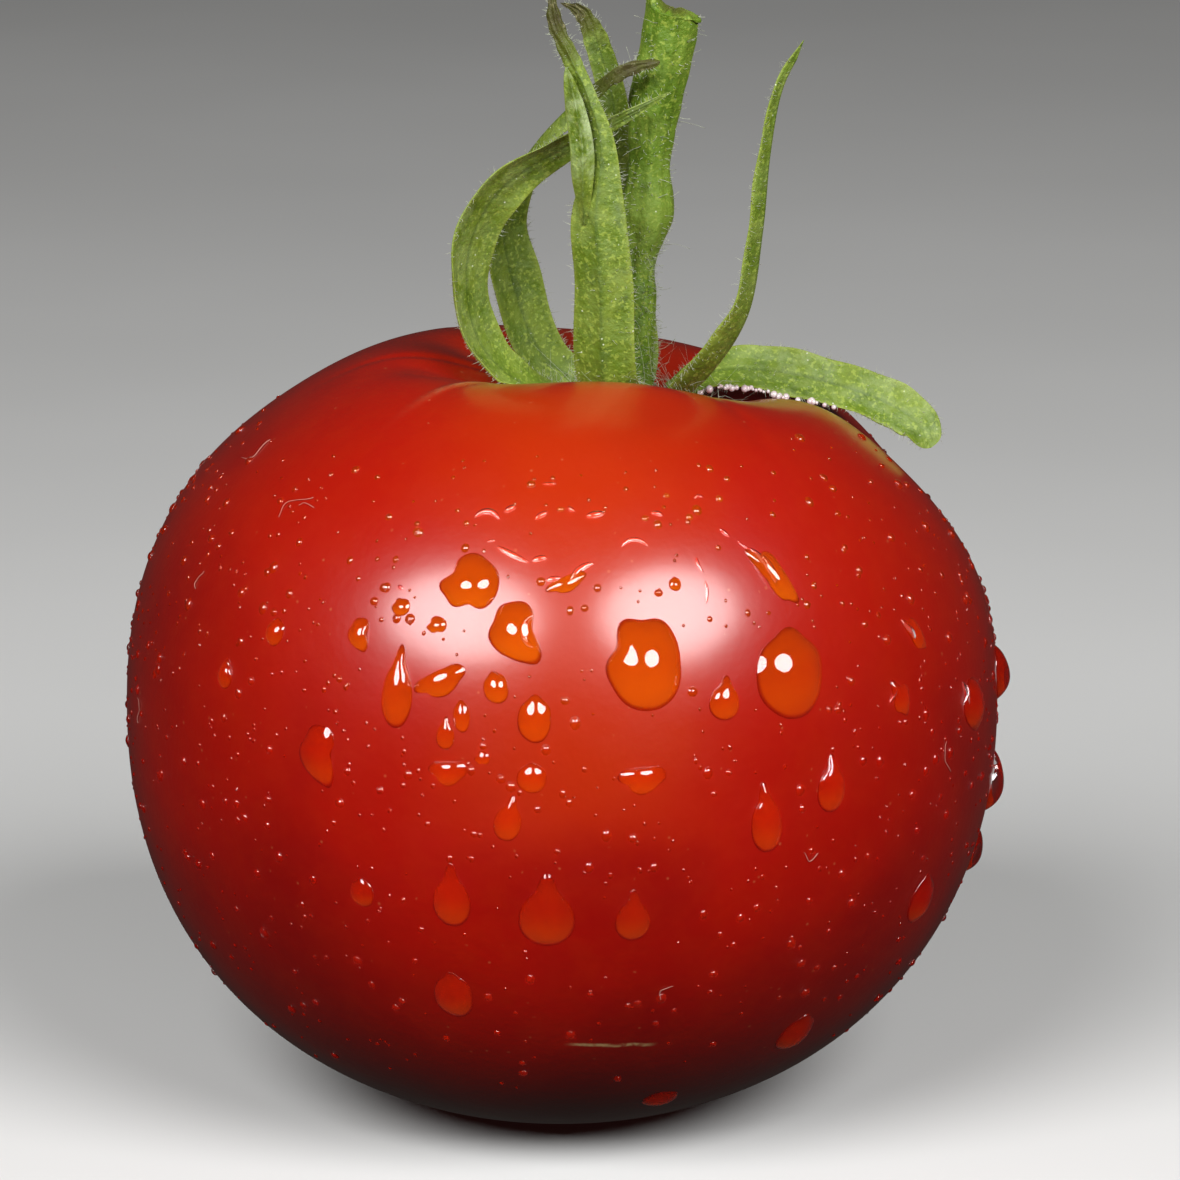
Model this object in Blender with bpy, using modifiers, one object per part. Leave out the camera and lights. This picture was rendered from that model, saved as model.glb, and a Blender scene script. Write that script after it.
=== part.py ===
"""A ripe tomato with its calyx and a stub of stalk, as picked and set down.

The fruit is one solid. The stalk is one piece that flares into the calyx at its foot and swells
into a knuckle half way up. Six sepals stand round the foot: four rise past the stalk and cross
in front of it or behind it, one stands clear on the right, and one lies over the shoulder.

Metres, +Z up. The origin is on the surface that the fruit rests on, under the fruit's middle.
-Y is the front: the side where the broad upright sepal stands before the stalk.
"""

import math

import bpy
from mathutils import Vector

MM = 0.001

# Between pieces that grow together or touch.
GAP = 0.35 * MM

# Fruit.
FRUIT_WIDTH = 56.0 * MM
BELT_HEIGHT = 26.2 * MM  # the widest level, above the resting plane
CROWN_RISE = 24.9 * MM  # the shoulders above the belt, before the stem cavity is pressed in
FLAT_DEPTH = 0.45 * MM  # how much of the round underside the flat spot takes away
UPPER_FULLNESS = 2.28  # 2 is an ellipse, more is squarer
LOWER_FULLNESS = 2.17

# Stem cavity, off the middle towards +X.
CAVITY_X = 4.6 * MM
CAVITY_Y = 0.6 * MM
CAVITY_DEPTH = 6.4 * MM
CAVITY_RADIUS = 9.0 * MM
# Folds that run out of the cavity over the shoulders: direction in degrees, half width in degrees,
# depth, and where each is deepest, from the cavity's middle. The last one dents the right shoulder.
FOLDS = (
    (172.0, 15.0, 1.1 * MM, 8.5 * MM),
    (112.0, 16.0, 0.7 * MM, 8.5 * MM),
    (58.0, 15.0, 0.8 * MM, 8.5 * MM),
    (8.0, 13.0, 1.1 * MM, 8.5 * MM),
    (12.0, 14.0, 2.8 * MM, 17.0 * MM),
)
FOLD_REACH = 4.5 * MM

# Stalk.
STALK_RADIUS = 1.3 * MM
STALK_LENGTH = 26.4 * MM
STALK_LEAN_X = 3.0 * MM  # how far the cut end stands off to +X
STALK_SWAY = 0.35 * MM  # a slight S along the way
FOOT_RADIUS = 2.3 * MM
FOOT_FLARE_HEIGHT = 0.9 * MM
KNUCKLE_HEIGHT = 12.6 * MM
KNUCKLE_SWELL = 0.45 * MM
KNUCKLE_HALF_LENGTH = 1.9 * MM
CUT_END_SHARE = 0.86  # the cut end's radius as a share of the stalk's

# Sepals.
SEPAL_THICKNESS = 0.85 * MM
SEPAL_FOOT_LIFT = 0.9 * MM  # the middle of a sepal's root above the stalk's foot
SEPAL_TIP_WIDTH = 0.5 * MM
SEPAL_CUP = 0.1  # how far the edges stand up, as a share of the width
SEPAL_STATIONS = 22
SEPAL_COLUMNS = 4

# Each sepal: the direction of its root in degrees, its width, the route of its middle line from
# the calyx's middle (right, back, up), and its turn about that line at root, middle and tip.
SEPALS = {
    "sepal_front": {
        "direction": -96.0,
        "width": 4.1 * MM,
        "route": (
            (-1.5, -5.2, 3.2),
            (-1.7, -5.8, 9.0),
            (-2.0, -5.8, 15.2),
            (-2.8, -5.4, 20.0),
            (-4.2, -5.0, 23.8),
            (-5.1, -4.6, 27.4),
        ),
        "turn": (0.0, 0.0, 35.0),
    },
    "sepal_front_left": {
        "direction": 203.0,
        "width": 3.6 * MM,
        "route": (
            (-6.9, -3.1, 2.2),
            (-10.0, -3.3, 5.4),
            (-10.6, -3.4, 10.6),
            (-8.7, -3.4, 14.8),
            (-5.0, -3.3, 17.4),
            (-1.0, -3.2, 19.4),
            (2.4, -3.2, 21.2),
        ),
        "turn": (-10.0, -60.0, -85.0),
    },
    "sepal_back_left": {
        "direction": 140.0,
        "width": 3.4 * MM,
        "route": (
            (-5.4, 2.4, 3.2),
            (-8.0, 2.6, 8.2),
            (-8.5, 1.8, 12.6),
            (-6.2, 0.7, 16.5),
            (-3.5, -0.9, 19.9),
            (-0.9, -2.6, 22.4),
            (1.5, -3.2, 23.3),
        ),
        "turn": (10.0, 50.0, 75.0),
    },
    "sepal_back": {
        "direction": 84.0,
        "width": 2.8 * MM,
        "route": (
            (0.3, 4.7, 3.4),
            (-0.5, 4.8, 9.2),
            (-0.9, 4.2, 14.8),
            (-1.2, 3.6, 19.4),
            (-2.2, 3.3, 23.2),
            (-3.4, 3.2, 25.6),
        ),
        "turn": (0.0, 0.0, 10.0),
    },
    "sepal_back_right": {
        "direction": 20.0,
        "width": 3.9 * MM,
        "route": (
            (5.4, 1.1, 2.5),
            (9.0, 1.8, 2.6),
            (12.8, 2.3, 1.9),
            (16.3, 2.4, 0.5),
            (18.5, 2.0, -1.0),
            (19.3, 1.4, -3.1),
        ),
        "turn": (10.0, 50.0, 30.0),
    },
    "sepal_front_right": {
        "direction": -38.0,
        "width": 3.0 * MM,
        "route": (
            (4.6, -3.6, 3.5),
            (6.9, -4.4, 7.4),
            (7.8, -4.6, 12.6),
            (8.3, -4.5, 17.6),
            (9.1, -4.2, 21.6),
            (10.7, -4.0, 24.6),
        ),
        "turn": (0.0, 20.0, 18.0),
    },
}

COLOURS = {
    "fruit": (0.62, 0.02, 0.01),
    "stalk": (0.16, 0.28, 0.03),
    "sepal": (0.2, 0.36, 0.05),
}
ROUGHNESS = {"fruit": 0.3, "stalk": 0.6, "sepal": 0.55}

FRUIT_SEGMENTS = 52
FRUIT_RINGS = 34
STALK_RINGS = 26


# ---------------------------------------------------------------- scene and materials


def clear_scene():
    """Takes away whatever the scene held."""
    for obj in list(bpy.data.objects):
        bpy.data.objects.remove(obj, do_unlink=True)


def make_collection(name):
    """The collection that the tomato's pieces go in."""
    collection = bpy.data.collections.new(name)
    bpy.context.scene.collection.children.link(collection)
    return collection


def make_material(name):
    """A plain Principled material in the finish that COLOURS and ROUGHNESS give."""
    material = bpy.data.materials.new(name)
    material.use_nodes = True
    shader = material.node_tree.nodes["Principled BSDF"]
    shader.inputs["Base Color"].default_value = (*COLOURS[name], 1.0)
    shader.inputs["Roughness"].default_value = ROUGHNESS[name]
    shader.inputs["Metallic"].default_value = 0.0
    return material


def adopt(obj, name, collection, material):
    """Names a new object, gives it its material and moves it to the collection."""
    obj.name = name
    obj.data.name = name
    obj.data.materials.append(material)
    for other in list(obj.users_collection):
        other.objects.unlink(obj)
    collection.objects.link(obj)
    return obj


# ---------------------------------------------------------------- fruit


def bell(distance, reach):
    """A smooth hump: 1 at distance 0, fading past reach."""
    return math.exp(-((distance / reach) ** 2))


def pressed_in(x, y):
    """How far the stem cavity and its folds press the crown down at a point."""
    off_x, off_y = x - CAVITY_X, y - CAVITY_Y
    away = math.hypot(off_x, off_y)
    heading = math.degrees(math.atan2(off_y, off_x))
    depth = CAVITY_DEPTH * bell(away, CAVITY_RADIUS)
    for direction, half_width, fold_depth, middle in FOLDS:
        turned = (heading - direction + 180.0) % 360.0 - 180.0
        depth += fold_depth * bell(turned, half_width) * bell(away - middle, FOLD_REACH)
    return depth


def crown_height(x, y):
    """The fruit's upper surface above the resting plane, at a point inside its outline."""
    share = min(1.0, math.hypot(x, y) / (FRUIT_WIDTH / 2))
    rise = (1.0 - share**UPPER_FULLNESS) ** (1.0 / UPPER_FULLNESS)
    return BELT_HEIGHT + CROWN_RISE * rise - pressed_in(x, y)


def fruit_point(heading, lift):
    """A point of the skin. Heading goes round the fruit, and lift runs from -pi/2 below to pi/2 on top."""
    fullness = UPPER_FULLNESS if lift > 0 else LOWER_FULLNESS
    out = FRUIT_WIDTH / 2 * max(0.0, math.cos(lift)) ** (2.0 / fullness)
    x, y = out * math.cos(heading), out * math.sin(heading)
    up = abs(math.sin(lift)) ** (2.0 / fullness)
    if lift > 0:
        return x, y, BELT_HEIGHT + CROWN_RISE * up - pressed_in(x, y)
    # The round underside reaches below the resting plane and is cut flat there.
    return x, y, max(0.0, BELT_HEIGHT - (BELT_HEIGHT + FLAT_DEPTH) * up)


def make_fruit(collection, material):
    """The fruit: a sphere drawn out to the tomato's outline, with its cavity, folds and flat spot."""
    bpy.ops.mesh.primitive_uv_sphere_add(segments=FRUIT_SEGMENTS, ring_count=FRUIT_RINGS, radius=1.0)
    fruit = adopt(bpy.context.object, "fruit", collection, material)
    for vertex in fruit.data.vertices:
        heading = math.atan2(vertex.co.y, vertex.co.x)
        lift = math.asin(max(-1.0, min(1.0, vertex.co.z)))
        vertex.co = fruit_point(heading, lift)
    fruit.data.shade_smooth()
    return fruit


# ---------------------------------------------------------------- stalk


def calyx_middle():
    """The middle of the stalk's foot, a gap above the cavity where the foot's rim comes nearest to it."""
    rim = [math.radians(10.0 * step) for step in range(36)]
    highest = max(
        crown_height(CAVITY_X + FOOT_RADIUS * math.cos(turn), CAVITY_Y + FOOT_RADIUS * math.sin(turn))
        for turn in rim
    )
    return Vector((CAVITY_X, CAVITY_Y, highest + GAP))


def stalk_axis(height):
    """The stalk's middle line, from the calyx's middle, at a height above the foot."""
    share = height / STALK_LENGTH
    lean = STALK_LEAN_X * share**1.6
    sway = STALK_SWAY * math.sin(2.0 * math.pi * share)
    return Vector((lean + sway, -sway, height))


def stalk_radius(height):
    """The stalk's radius: flared at the foot, swollen at the knuckle, a little thicker above it."""
    share = height / STALK_LENGTH
    flare = (FOOT_RADIUS - STALK_RADIUS) * math.exp(-height / FOOT_FLARE_HEIGHT)
    knuckle = KNUCKLE_SWELL * bell(height - KNUCKLE_HEIGHT, KNUCKLE_HALF_LENGTH)
    thicker = 0.1 * STALK_RADIUS / (1.0 + math.exp((KNUCKLE_HEIGHT - height) / KNUCKLE_HALF_LENGTH))
    worn = (1.0 - CUT_END_SHARE) * STALK_RADIUS * share**30
    return STALK_RADIUS + flare + knuckle + thicker - worn


def make_stalk(collection, material):
    """The stalk, a bevelled curve whose point radii follow stalk_radius."""
    curve = bpy.data.curves.new("stalk", "CURVE")
    curve.dimensions = "3D"
    curve.bevel_depth = STALK_RADIUS
    curve.bevel_resolution = 3
    curve.use_fill_caps = True
    spline = curve.splines.new("POLY")
    spline.points.add(STALK_RINGS - 1)
    foot = calyx_middle()
    for step, point in enumerate(spline.points):
        # Rings are closer together at the foot, where the flare is.
        height = STALK_LENGTH * (step / (STALK_RINGS - 1)) ** 1.35
        point.co = (*(foot + stalk_axis(height)), 1.0)
        point.radius = stalk_radius(height) / STALK_RADIUS
    stalk = bpy.data.objects.new("stalk", curve)
    bpy.context.scene.collection.objects.link(stalk)
    return adopt(stalk, "stalk", collection, material)


# ---------------------------------------------------------------- sepals


def smooth_through(knots, count):
    """Points at even steps along a Catmull-Rom curve through the knots."""
    ends = [2 * knots[0] - knots[1], *knots, 2 * knots[-1] - knots[-2]]
    spans = len(knots) - 1
    made = []
    for step in range(count):
        along = spans * step / (count - 1)
        span = min(int(along), spans - 1)
        t = along - span
        before, start, end, after = ends[span : span + 4]
        made.append(
            0.5
            * (
                2 * start
                + (end - before) * t
                + (2 * before - 5 * start + 4 * end - after) * t**2
                + (3 * start - before - 3 * end + after) * t**3
            )
        )
    return made


def between(three, share):
    """A value that passes smoothly through three given ones at 0, a half and 1."""
    first, middle, last = three
    low, high = (first, middle) if share < 0.5 else (middle, last)
    t = (share * 2.0) % 1.0 if share < 1.0 else 1.0
    return low + (high - low) * t * t * (3.0 - 2.0 * t)


def sepal_root(direction):
    """The middle of a sepal's root, a gap outside the stalk's foot."""
    turn = math.radians(direction)
    ring = FOOT_RADIUS + GAP
    return Vector((ring * math.cos(turn), ring * math.sin(turn), SEPAL_FOOT_LIFT))


def root_width():
    """The width that lets all the roots stand side by side round the foot, a gap apart."""
    ring = FOOT_RADIUS + GAP
    return 2.0 * ring * math.sin(math.pi / len(SEPALS)) - 2.0 * GAP


def sepal_width(full, share):
    """The blade's width along a sepal: narrow at the root, full soon after, then drawn to the tip."""
    opening = min(1.0, share / 0.22)
    root = min(root_width(), full)
    belly = root + (full - root) * opening * opening * (3.0 - 2.0 * opening)
    return SEPAL_TIP_WIDTH + (belly - SEPAL_TIP_WIDTH) * (1.0 - share**2.6) ** 0.9


def kept_clear(point):
    """The point, moved out of the stalk and up off the fruit where it would come too near."""
    foot = calyx_middle()
    room = SEPAL_THICKNESS / 2 + GAP
    height = point.z - foot.z
    if 0.0 < height < STALK_LENGTH:
        middle = foot + stalk_axis(height)
        off = Vector((point.x - middle.x, point.y - middle.y, 0.0))
        least = stalk_radius(height) + room
        if 0.0 < off.length < least:
            point = point + off.normalized() * (least - off.length)
    # On the slope of a shoulder the blade needs a little more height to clear by the same gap.
    return Vector((point.x, point.y, max(point.z, crown_height(point.x, point.y) + 1.35 * room)))


def sepal_frames(sepal):
    """The middle line of a sepal with, at each station, the directions across the blade and out of its inner face."""
    foot = calyx_middle()
    knots = [sepal_root(sepal["direction"])] + [Vector(point) * MM for point in sepal["route"]]
    line = smooth_through([foot + knot for knot in knots], SEPAL_STATIONS)
    turn = math.radians(sepal["direction"])
    across = Vector((-math.sin(turn), math.cos(turn), 0.0))
    frames = []
    for step, middle in enumerate(line):
        onward = line[min(step + 1, len(line) - 1)] - line[max(step - 1, 0)]
        onward.normalize()
        across = (across - onward * across.dot(onward)).normalized()
        inner = onward.cross(across)
        angle = math.radians(between(sepal["turn"], step / (SEPAL_STATIONS - 1)))
        turned = across * math.cos(angle) + inner * math.sin(angle)
        frames.append((middle, turned, onward.cross(turned)))
    return frames


def make_sepal(name, sepal, collection, material):
    """A sepal: a grid laid along the middle line, cupped across, and thickened by Solidify."""
    bpy.ops.mesh.primitive_grid_add(x_subdivisions=SEPAL_STATIONS - 1, y_subdivisions=SEPAL_COLUMNS, size=2.0)
    blade = adopt(bpy.context.object, name, collection, material)
    frames = sepal_frames(sepal)
    for vertex in blade.data.vertices:
        share = (vertex.co.x + 1.0) / 2.0
        side = vertex.co.y
        middle, across, inner = frames[round(share * (SEPAL_STATIONS - 1))]
        width = sepal_width(sepal["width"], share)
        cup = SEPAL_CUP * width * side * side
        vertex.co = kept_clear(middle + across * (side * width / 2) + inner * cup)
    thicken = blade.modifiers.new("thickness", "SOLIDIFY")
    thicken.thickness = SEPAL_THICKNESS
    thicken.offset = 0.0
    blade.data.shade_smooth()
    return blade


# ---------------------------------------------------------------- the tomato


def main():
    clear_scene()
    collection = make_collection("tomato")
    skin, stalk_green, sepal_green = (make_material(name) for name in ("fruit", "stalk", "sepal"))
    make_fruit(collection, skin)
    make_stalk(collection, stalk_green)
    for name, sepal in SEPALS.items():
        make_sepal(name, sepal, collection, sepal_green)


main()
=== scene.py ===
"""The looks of a ripe tomato: its skin, stalk, sepals and plant hairs, the water on it, and the studio.

Metres, +Z up, -Y is the front. Every piece is a surface worked out on a grid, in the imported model's frame.
"""

import math

import bpy
import numpy as np
from bpy.props import FloatProperty, FloatVectorProperty, IntProperty, PointerProperty
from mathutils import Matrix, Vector


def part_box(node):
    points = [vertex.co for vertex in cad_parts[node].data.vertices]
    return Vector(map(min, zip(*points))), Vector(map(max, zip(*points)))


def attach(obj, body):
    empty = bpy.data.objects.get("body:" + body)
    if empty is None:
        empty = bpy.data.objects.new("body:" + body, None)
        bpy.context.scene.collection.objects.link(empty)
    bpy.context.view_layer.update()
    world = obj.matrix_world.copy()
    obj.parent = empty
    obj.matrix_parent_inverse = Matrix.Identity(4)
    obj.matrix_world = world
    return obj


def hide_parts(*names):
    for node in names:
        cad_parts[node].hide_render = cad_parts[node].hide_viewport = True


bl_info = {
    "name": "Ripe tomato",
    "version": (1, 0, 0),
    "blender": (4, 5, 0),
    "location": "View3D > Sidebar > Tomato",
    "description": "Makes a ripe tomato with its calyx, stalk and water drops around a packed model",
    "category": "Add Mesh",
}

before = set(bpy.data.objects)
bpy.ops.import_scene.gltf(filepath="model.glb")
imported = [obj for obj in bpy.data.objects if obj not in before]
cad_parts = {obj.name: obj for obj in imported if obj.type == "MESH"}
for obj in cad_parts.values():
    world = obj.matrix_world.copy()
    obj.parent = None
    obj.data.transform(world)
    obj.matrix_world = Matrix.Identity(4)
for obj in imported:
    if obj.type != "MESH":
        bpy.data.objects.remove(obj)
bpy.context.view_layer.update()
FRUIT_LOW, FRUIT_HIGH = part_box("fruit")
STALK_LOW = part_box("stalk")[0]
MM = 0.001
FULL_TURN = 2.0 * math.pi


# ---------------------------------------------------------------- sizes and colours


def a_length(name, description, default):
    """A size."""
    return FloatProperty(name=name, description=description, default=default, unit="LENGTH")


def an_angle(name, description, degrees):
    """An angle."""
    return FloatProperty(name=name, description=description, default=math.radians(degrees), subtype="ANGLE")


def a_colour(name, description, *red_green_blue):
    """An opaque colour."""
    return FloatVectorProperty(
        name=name, description=description, subtype="COLOR", size=4, default=(*red_green_blue, 1.0)
    )


class FruitSettings(bpy.types.PropertyGroup):
    """The fruit's form and skin."""

    width: a_length("Width", "Across the fruit", FRUIT_HIGH.x - FRUIT_LOW.x)
    belt_height: a_length("Belt height", "Its widest level", 26.2 * MM)
    crown_rise: a_length("Crown rise", "The shoulders above the belt", 24.9 * MM)
    flat_depth: a_length("Flat depth", "What the flat spot takes away", 0.45 * MM)
    upper_fullness: FloatProperty(
        name="Upper fullness", description="2 is an ellipse, more is squarer", default=2.28
    )
    lower_fullness: FloatProperty(
        name="Lower fullness", description="2 is an ellipse, more is squarer", default=2.17
    )
    cavity_depth: a_length("Cavity depth", "How deep the stem cavity is", 6.4 * MM)
    cavity_radius: a_length("Cavity radius", "How far the stem cavity reaches", 9.0 * MM)
    scar_radius: a_length("Scar radius", "The blossom scar underneath", 1.3 * MM)
    ripe: a_colour("Ripe", "The skin's main red", 0.37, 0.0035, 0.0006)
    # Orange also paints light in front of the crown, and crimson also paints shade towards the underside.
    orange: a_colour("Orange", "The skin in front of the crown", 0.43, 0.021, 0.0006)
    crimson: a_colour("Crimson", "The skin at its ripest", 0.25, 0.0012, 0.0008)


class StalkSettings(bpy.types.PropertyGroup):
    """The stalk's sizes and colours."""

    radius: a_length("Radius", "Below the knuckle", 1.18 * MM)
    foot_radius: a_length("Foot radius", "At the calyx", 2.3 * MM)
    length: a_length("Length", "From foot to torn end", 26.4 * MM)
    lean: a_length("Lean", "Of the torn end to the right", 3.0 * MM)
    knuckle_height: a_length("Knuckle height", "Above the foot", 12.7 * MM)
    green: a_colour("Green", "The stalk's colour", 0.11, 0.2, 0.01)
    pale: a_colour("Pale green", "Ridges and knuckle", 0.22, 0.32, 0.035)


class SepalSettings(bpy.types.PropertyGroup):
    """The sepals' sizes and colours."""

    thickness: a_length("Thickness", "At the midrib", 0.62 * MM)
    cup: FloatProperty(name="Cup", description="How far edges stand up, a share of the width", default=0.12)
    green: a_colour("Green", "The blade's colour", 0.105, 0.175, 0.006)
    pale: a_colour("Pale green", "Edges and blotches", 0.25, 0.32, 0.035)
    withered: a_colour("Withered", "The dry tips", 0.06, 0.05, 0.014)


class HairSettings(bpy.types.PropertyGroup):
    """The plant hairs."""

    stalk_count: IntProperty(name="On the stalk", description="How many hairs", default=1300)
    sepal_count: IntProperty(name="On each sepal", description="How many hairs", default=700)
    cavity_count: IntProperty(name="In the cavity", description="How many hairs", default=260)
    radius: a_length("Radius", "At a hair's root", 0.026 * MM)
    pale: a_colour("Pale", "The hairs' colour", 0.5, 0.53, 0.4)


class WaterSettings(bpy.types.PropertyGroup):
    """The water drops."""

    contact_angle: an_angle("Contact angle", "Where a drop meets the skin", 58)
    bead_count: IntProperty(name="Beads", description="Pinhead drops all round", default=2000)
    loose_count: IntProperty(name="Loose drops", description="Larger drops on the sides and back", default=60)


class StageSettings(bpy.types.PropertyGroup):
    """The lamps and the camera."""

    camera_distance: a_length("Camera distance", "From the point it looks at", 0.45)
    camera_elevation: an_angle("Camera elevation", "Above the level", 13)
    frame_width: a_length("Frame width", "What the camera takes in there", 75.8 * MM)
    softbox_size: a_length("Softbox size", "Its width", 0.39)
    softbox_power: FloatProperty(name="Softbox power", description="Each one's, in watts", default=3.5)


SETTINGS = {
    "tomato_fruit": FruitSettings,
    "tomato_stalk": StalkSettings,
    "tomato_sepals": SepalSettings,
    "tomato_hairs": HairSettings,
    "tomato_water": WaterSettings,
    "tomato_stage": StageSettings,
}


def settings(part):
    """The scene's settings for one part, such as fruit."""
    return getattr(bpy.context.scene, "tomato_" + part)


# ---------------------------------------------------------------- meshes


def even_turns(count):
    """Turns spaced evenly round a full one."""
    return np.linspace(0.0, FULL_TURN, count, endpoint=False)


def grid_quads(rows, columns):
    """The quads between the points of a grid of rows by columns, whose columns close on themselves."""
    row, column = np.meshgrid(np.arange(rows - 1), np.arange(columns), indexing="ij")
    low, high = row * columns, (row + 1) * columns
    after = (column + 1) % columns
    return np.stack([low + column, low + after, high + after, high + column], -1).reshape(-1, 4)


class Patchwork:
    """Points, faces, point values and material numbers of many surfaces, gathered into one mesh."""

    def __init__(self):
        self.points, self.faces, self.slots, self.values = [], [], [], {}
        self.count = 0

    def add(self, points, *patches, slots=None, **values):
        """Adds points (n, 3) with patches of faces (m, corners) that number them from 0. Slots gives each
        patch's material number, 0 by default; each value is one number or n of them."""
        for patch, slot in zip(patches, slots or [0] * len(patches)):
            self.faces.extend((patch + self.count).tolist())
            self.slots.extend([slot] * len(patch))
        self.points.append(points)
        for name, value in values.items():
            self.values.setdefault(name, []).append(np.broadcast_to(value, (len(points),)))
        self.count += len(points)

    def build(self, name, *materials):
        """The object, with a point attribute for each value."""
        mesh = bpy.data.meshes.new(name)
        mesh.from_pydata(np.concatenate(self.points).tolist(), [], self.faces)
        for material in materials:
            mesh.materials.append(material)
        mesh.polygons.foreach_set("material_index", self.slots)
        mesh.shade_smooth()
        for value_name, parts in self.values.items():
            layer = mesh.attributes.new(value_name, "FLOAT", "POINT")
            layer.data.foreach_set("value", np.concatenate(parts).astype(np.float32))
        mesh.validate()
        piece = bpy.data.objects.new(name, mesh)
        bpy.context.scene.collection.objects.link(piece)
        return piece


def rotated(ahead, aside, degrees):
    """Offsets ahead and aside, turned by degrees."""
    way = math.radians(degrees)
    return ahead * math.cos(way) - aside * math.sin(way), ahead * math.sin(way) + aside * math.cos(way)


def closed_tube(rings):
    """Points and faces of a tube through rings (stations, around, 3), fanned to each end ring's middle."""
    stations, around = rings.shape[:2]
    points = np.concatenate([rings.reshape(-1, 3), rings[0].mean(0)[None], rings[-1].mean(0)[None]])
    turn = np.arange(around)
    after = (turn + 1) % around
    first, top = stations * around, (stations - 1) * around
    start = np.stack([np.full(around, first), after, turn], -1)
    end = np.stack([np.full(around, first + 1), top + turn, top + after], -1)
    return points, grid_quads(stations, around), np.concatenate([start, end])


def many(count, each, *patches):
    """The patches of faces of count copies of a shape that has each its own points."""
    offsets = (np.arange(count) * each)[:, None, None]
    return [(faces[None] + offsets).reshape(-1, faces.shape[1]) for faces in patches]


def tube_rings(line, side, other, radius, turns):
    """Rings along a line: each goes round by cos in one direction and by sin in the other, at its radius."""
    ring = side[..., None, :] * np.cos(turns)[:, None] + other[..., None, :] * np.sin(turns)[:, None]
    return line[..., None, :] + ring * radius[..., None, None]


def with_ends(values, *ends):
    """A tube's point values, followed by those of its two end points."""
    return np.concatenate([values.ravel(), ends])


def hand_over(piece, slot, *nodes):
    """Rides a finished piece on the body, in place of the nodes. Its slot is not used."""
    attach(piece, "root")
    if nodes:
        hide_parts(*nodes)


def unit(vectors):
    """Vectors at length 1, along the last axis."""
    return vectors / np.maximum(np.linalg.norm(vectors, axis=-1, keepdims=True), 1e-12)


def bell(distance, reach):
    """A smooth hump: 1 at distance 0, fading past reach."""
    return np.exp(-((distance / reach) ** 2))


def smoothstep(low, high, value):
    """0 below low, 1 above high, and smooth between."""
    t = np.clip((value - low) / (high - low), 0.0, 1.0)
    return t * t * (3.0 - 2.0 * t)


# ---------------------------------------------------------------- materials


class Paint:
    """A Principled material and short calls that add nodes to it."""

    def __init__(self, name, **sockets):
        self.material = bpy.data.materials.new(name)
        self.material.use_nodes = True
        self.tree = self.material.node_tree
        self.shader = self.tree.nodes["Principled BSDF"]
        self.set(**sockets)

    def put(self, socket, value):
        """Gives a socket a value, or joins it to another node's output."""
        if isinstance(value, bpy.types.NodeSocket):
            self.tree.links.new(value, socket)
        else:
            socket.default_value = value

    def node(self, kind, output, *inputs, **choices):
        """An output of a new node, whose first inputs are given in their order."""
        node = self.tree.nodes.new("ShaderNode" + kind)
        for choice, value in choices.items():
            setattr(node, choice, value)
        for socket, value in enumerate(inputs):
            self.put(node.inputs[socket], value)
        return node.outputs[output]

    def coords(self):
        """Object coordinates."""
        return self.node("TexCoord", "Object")

    def value_of(self, name):
        """A point attribute of the mesh."""
        return self.node("Attribute", "Fac", attribute_name=name)

    def noise(self, scale, detail=3.0, roughness=0.5, distortion=0.0):
        """Noise from 0 to 1 with features 1 / scale metres across."""
        noise = self.node("TexNoise", "Fac", self.coords())
        given = {"Scale": scale, "Detail": detail, "Roughness": roughness, "Distortion": distortion}
        for socket, value in given.items():
            noise.node.inputs[socket].default_value = value
        return noise

    def dots(self, scale, low, high, most):
        """Round dots about 1 / scale metres apart: most within low of a scattered point, none past high."""
        cells = self.node("TexVoronoi", "Distance", self.coords())
        cells.node.inputs["Scale"].default_value = scale
        return self.between(cells, low, high, most, 0.0)

    def math(self, operation, a, b=0.0):
        """Arithmetic on two values."""
        return self.node("Math", 0, a, b, operation=operation)

    def plus(self, a, b):
        """a and b together."""
        return self.math("ADD", a, b)

    def times(self, a, b):
        """a by b."""
        return self.math("MULTIPLY", a, b)

    def between(self, value, low, high, start=0.0, end=1.0):
        """start where value is low, end where it is high, smooth between and level beyond."""
        return self.node("MapRange", 0, value, low, high, start, end, interpolation_type="SMOOTHSTEP")

    def mix(self, share, a, b, blend="MIX"):
        """Colour a with a share of b."""
        mixed = self.node("Mix", "Result", data_type="RGBA", blend_type=blend)
        for socket, value in {"Factor": share, "A": a, "B": b}.items():
            self.put(mixed.node.inputs[socket], value)
        return mixed

    def along(self, *direction):
        """How far a point lies along a direction, in metres."""
        return self.node("VectorMath", "Value", self.coords(), direction, operation="DOT_PRODUCT")

    def aside(self, middle):
        """How far a point lies to either side of a place from left to right."""
        return self.math("ABSOLUTE", self.math("SUBTRACT", self.along(1.0, 0.0, 0.0), middle))

    def bump(self, height, distance, strength=1.0, below=None):
        """A normal roughened by a height from 0 to 1 that stands for distance metres."""
        normal = self.node("Bump", "Normal")
        given = {"Height": height, "Distance": distance, "Strength": strength}
        if below is not None:
            given["Normal"] = below
        for socket, value in given.items():
            self.put(normal.node.inputs[socket], value)
        return normal

    def set(self, **sockets):
        """Joins the shader's sockets to values or nodes."""
        for socket, value in sockets.items():
            self.put(self.shader.inputs[socket.replace("_", " ")], value)
        return self.material


SCAR_LINE = 3.2 * MM, 9.9 * MM  # the middle and the level of the pale line low on the front


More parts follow.
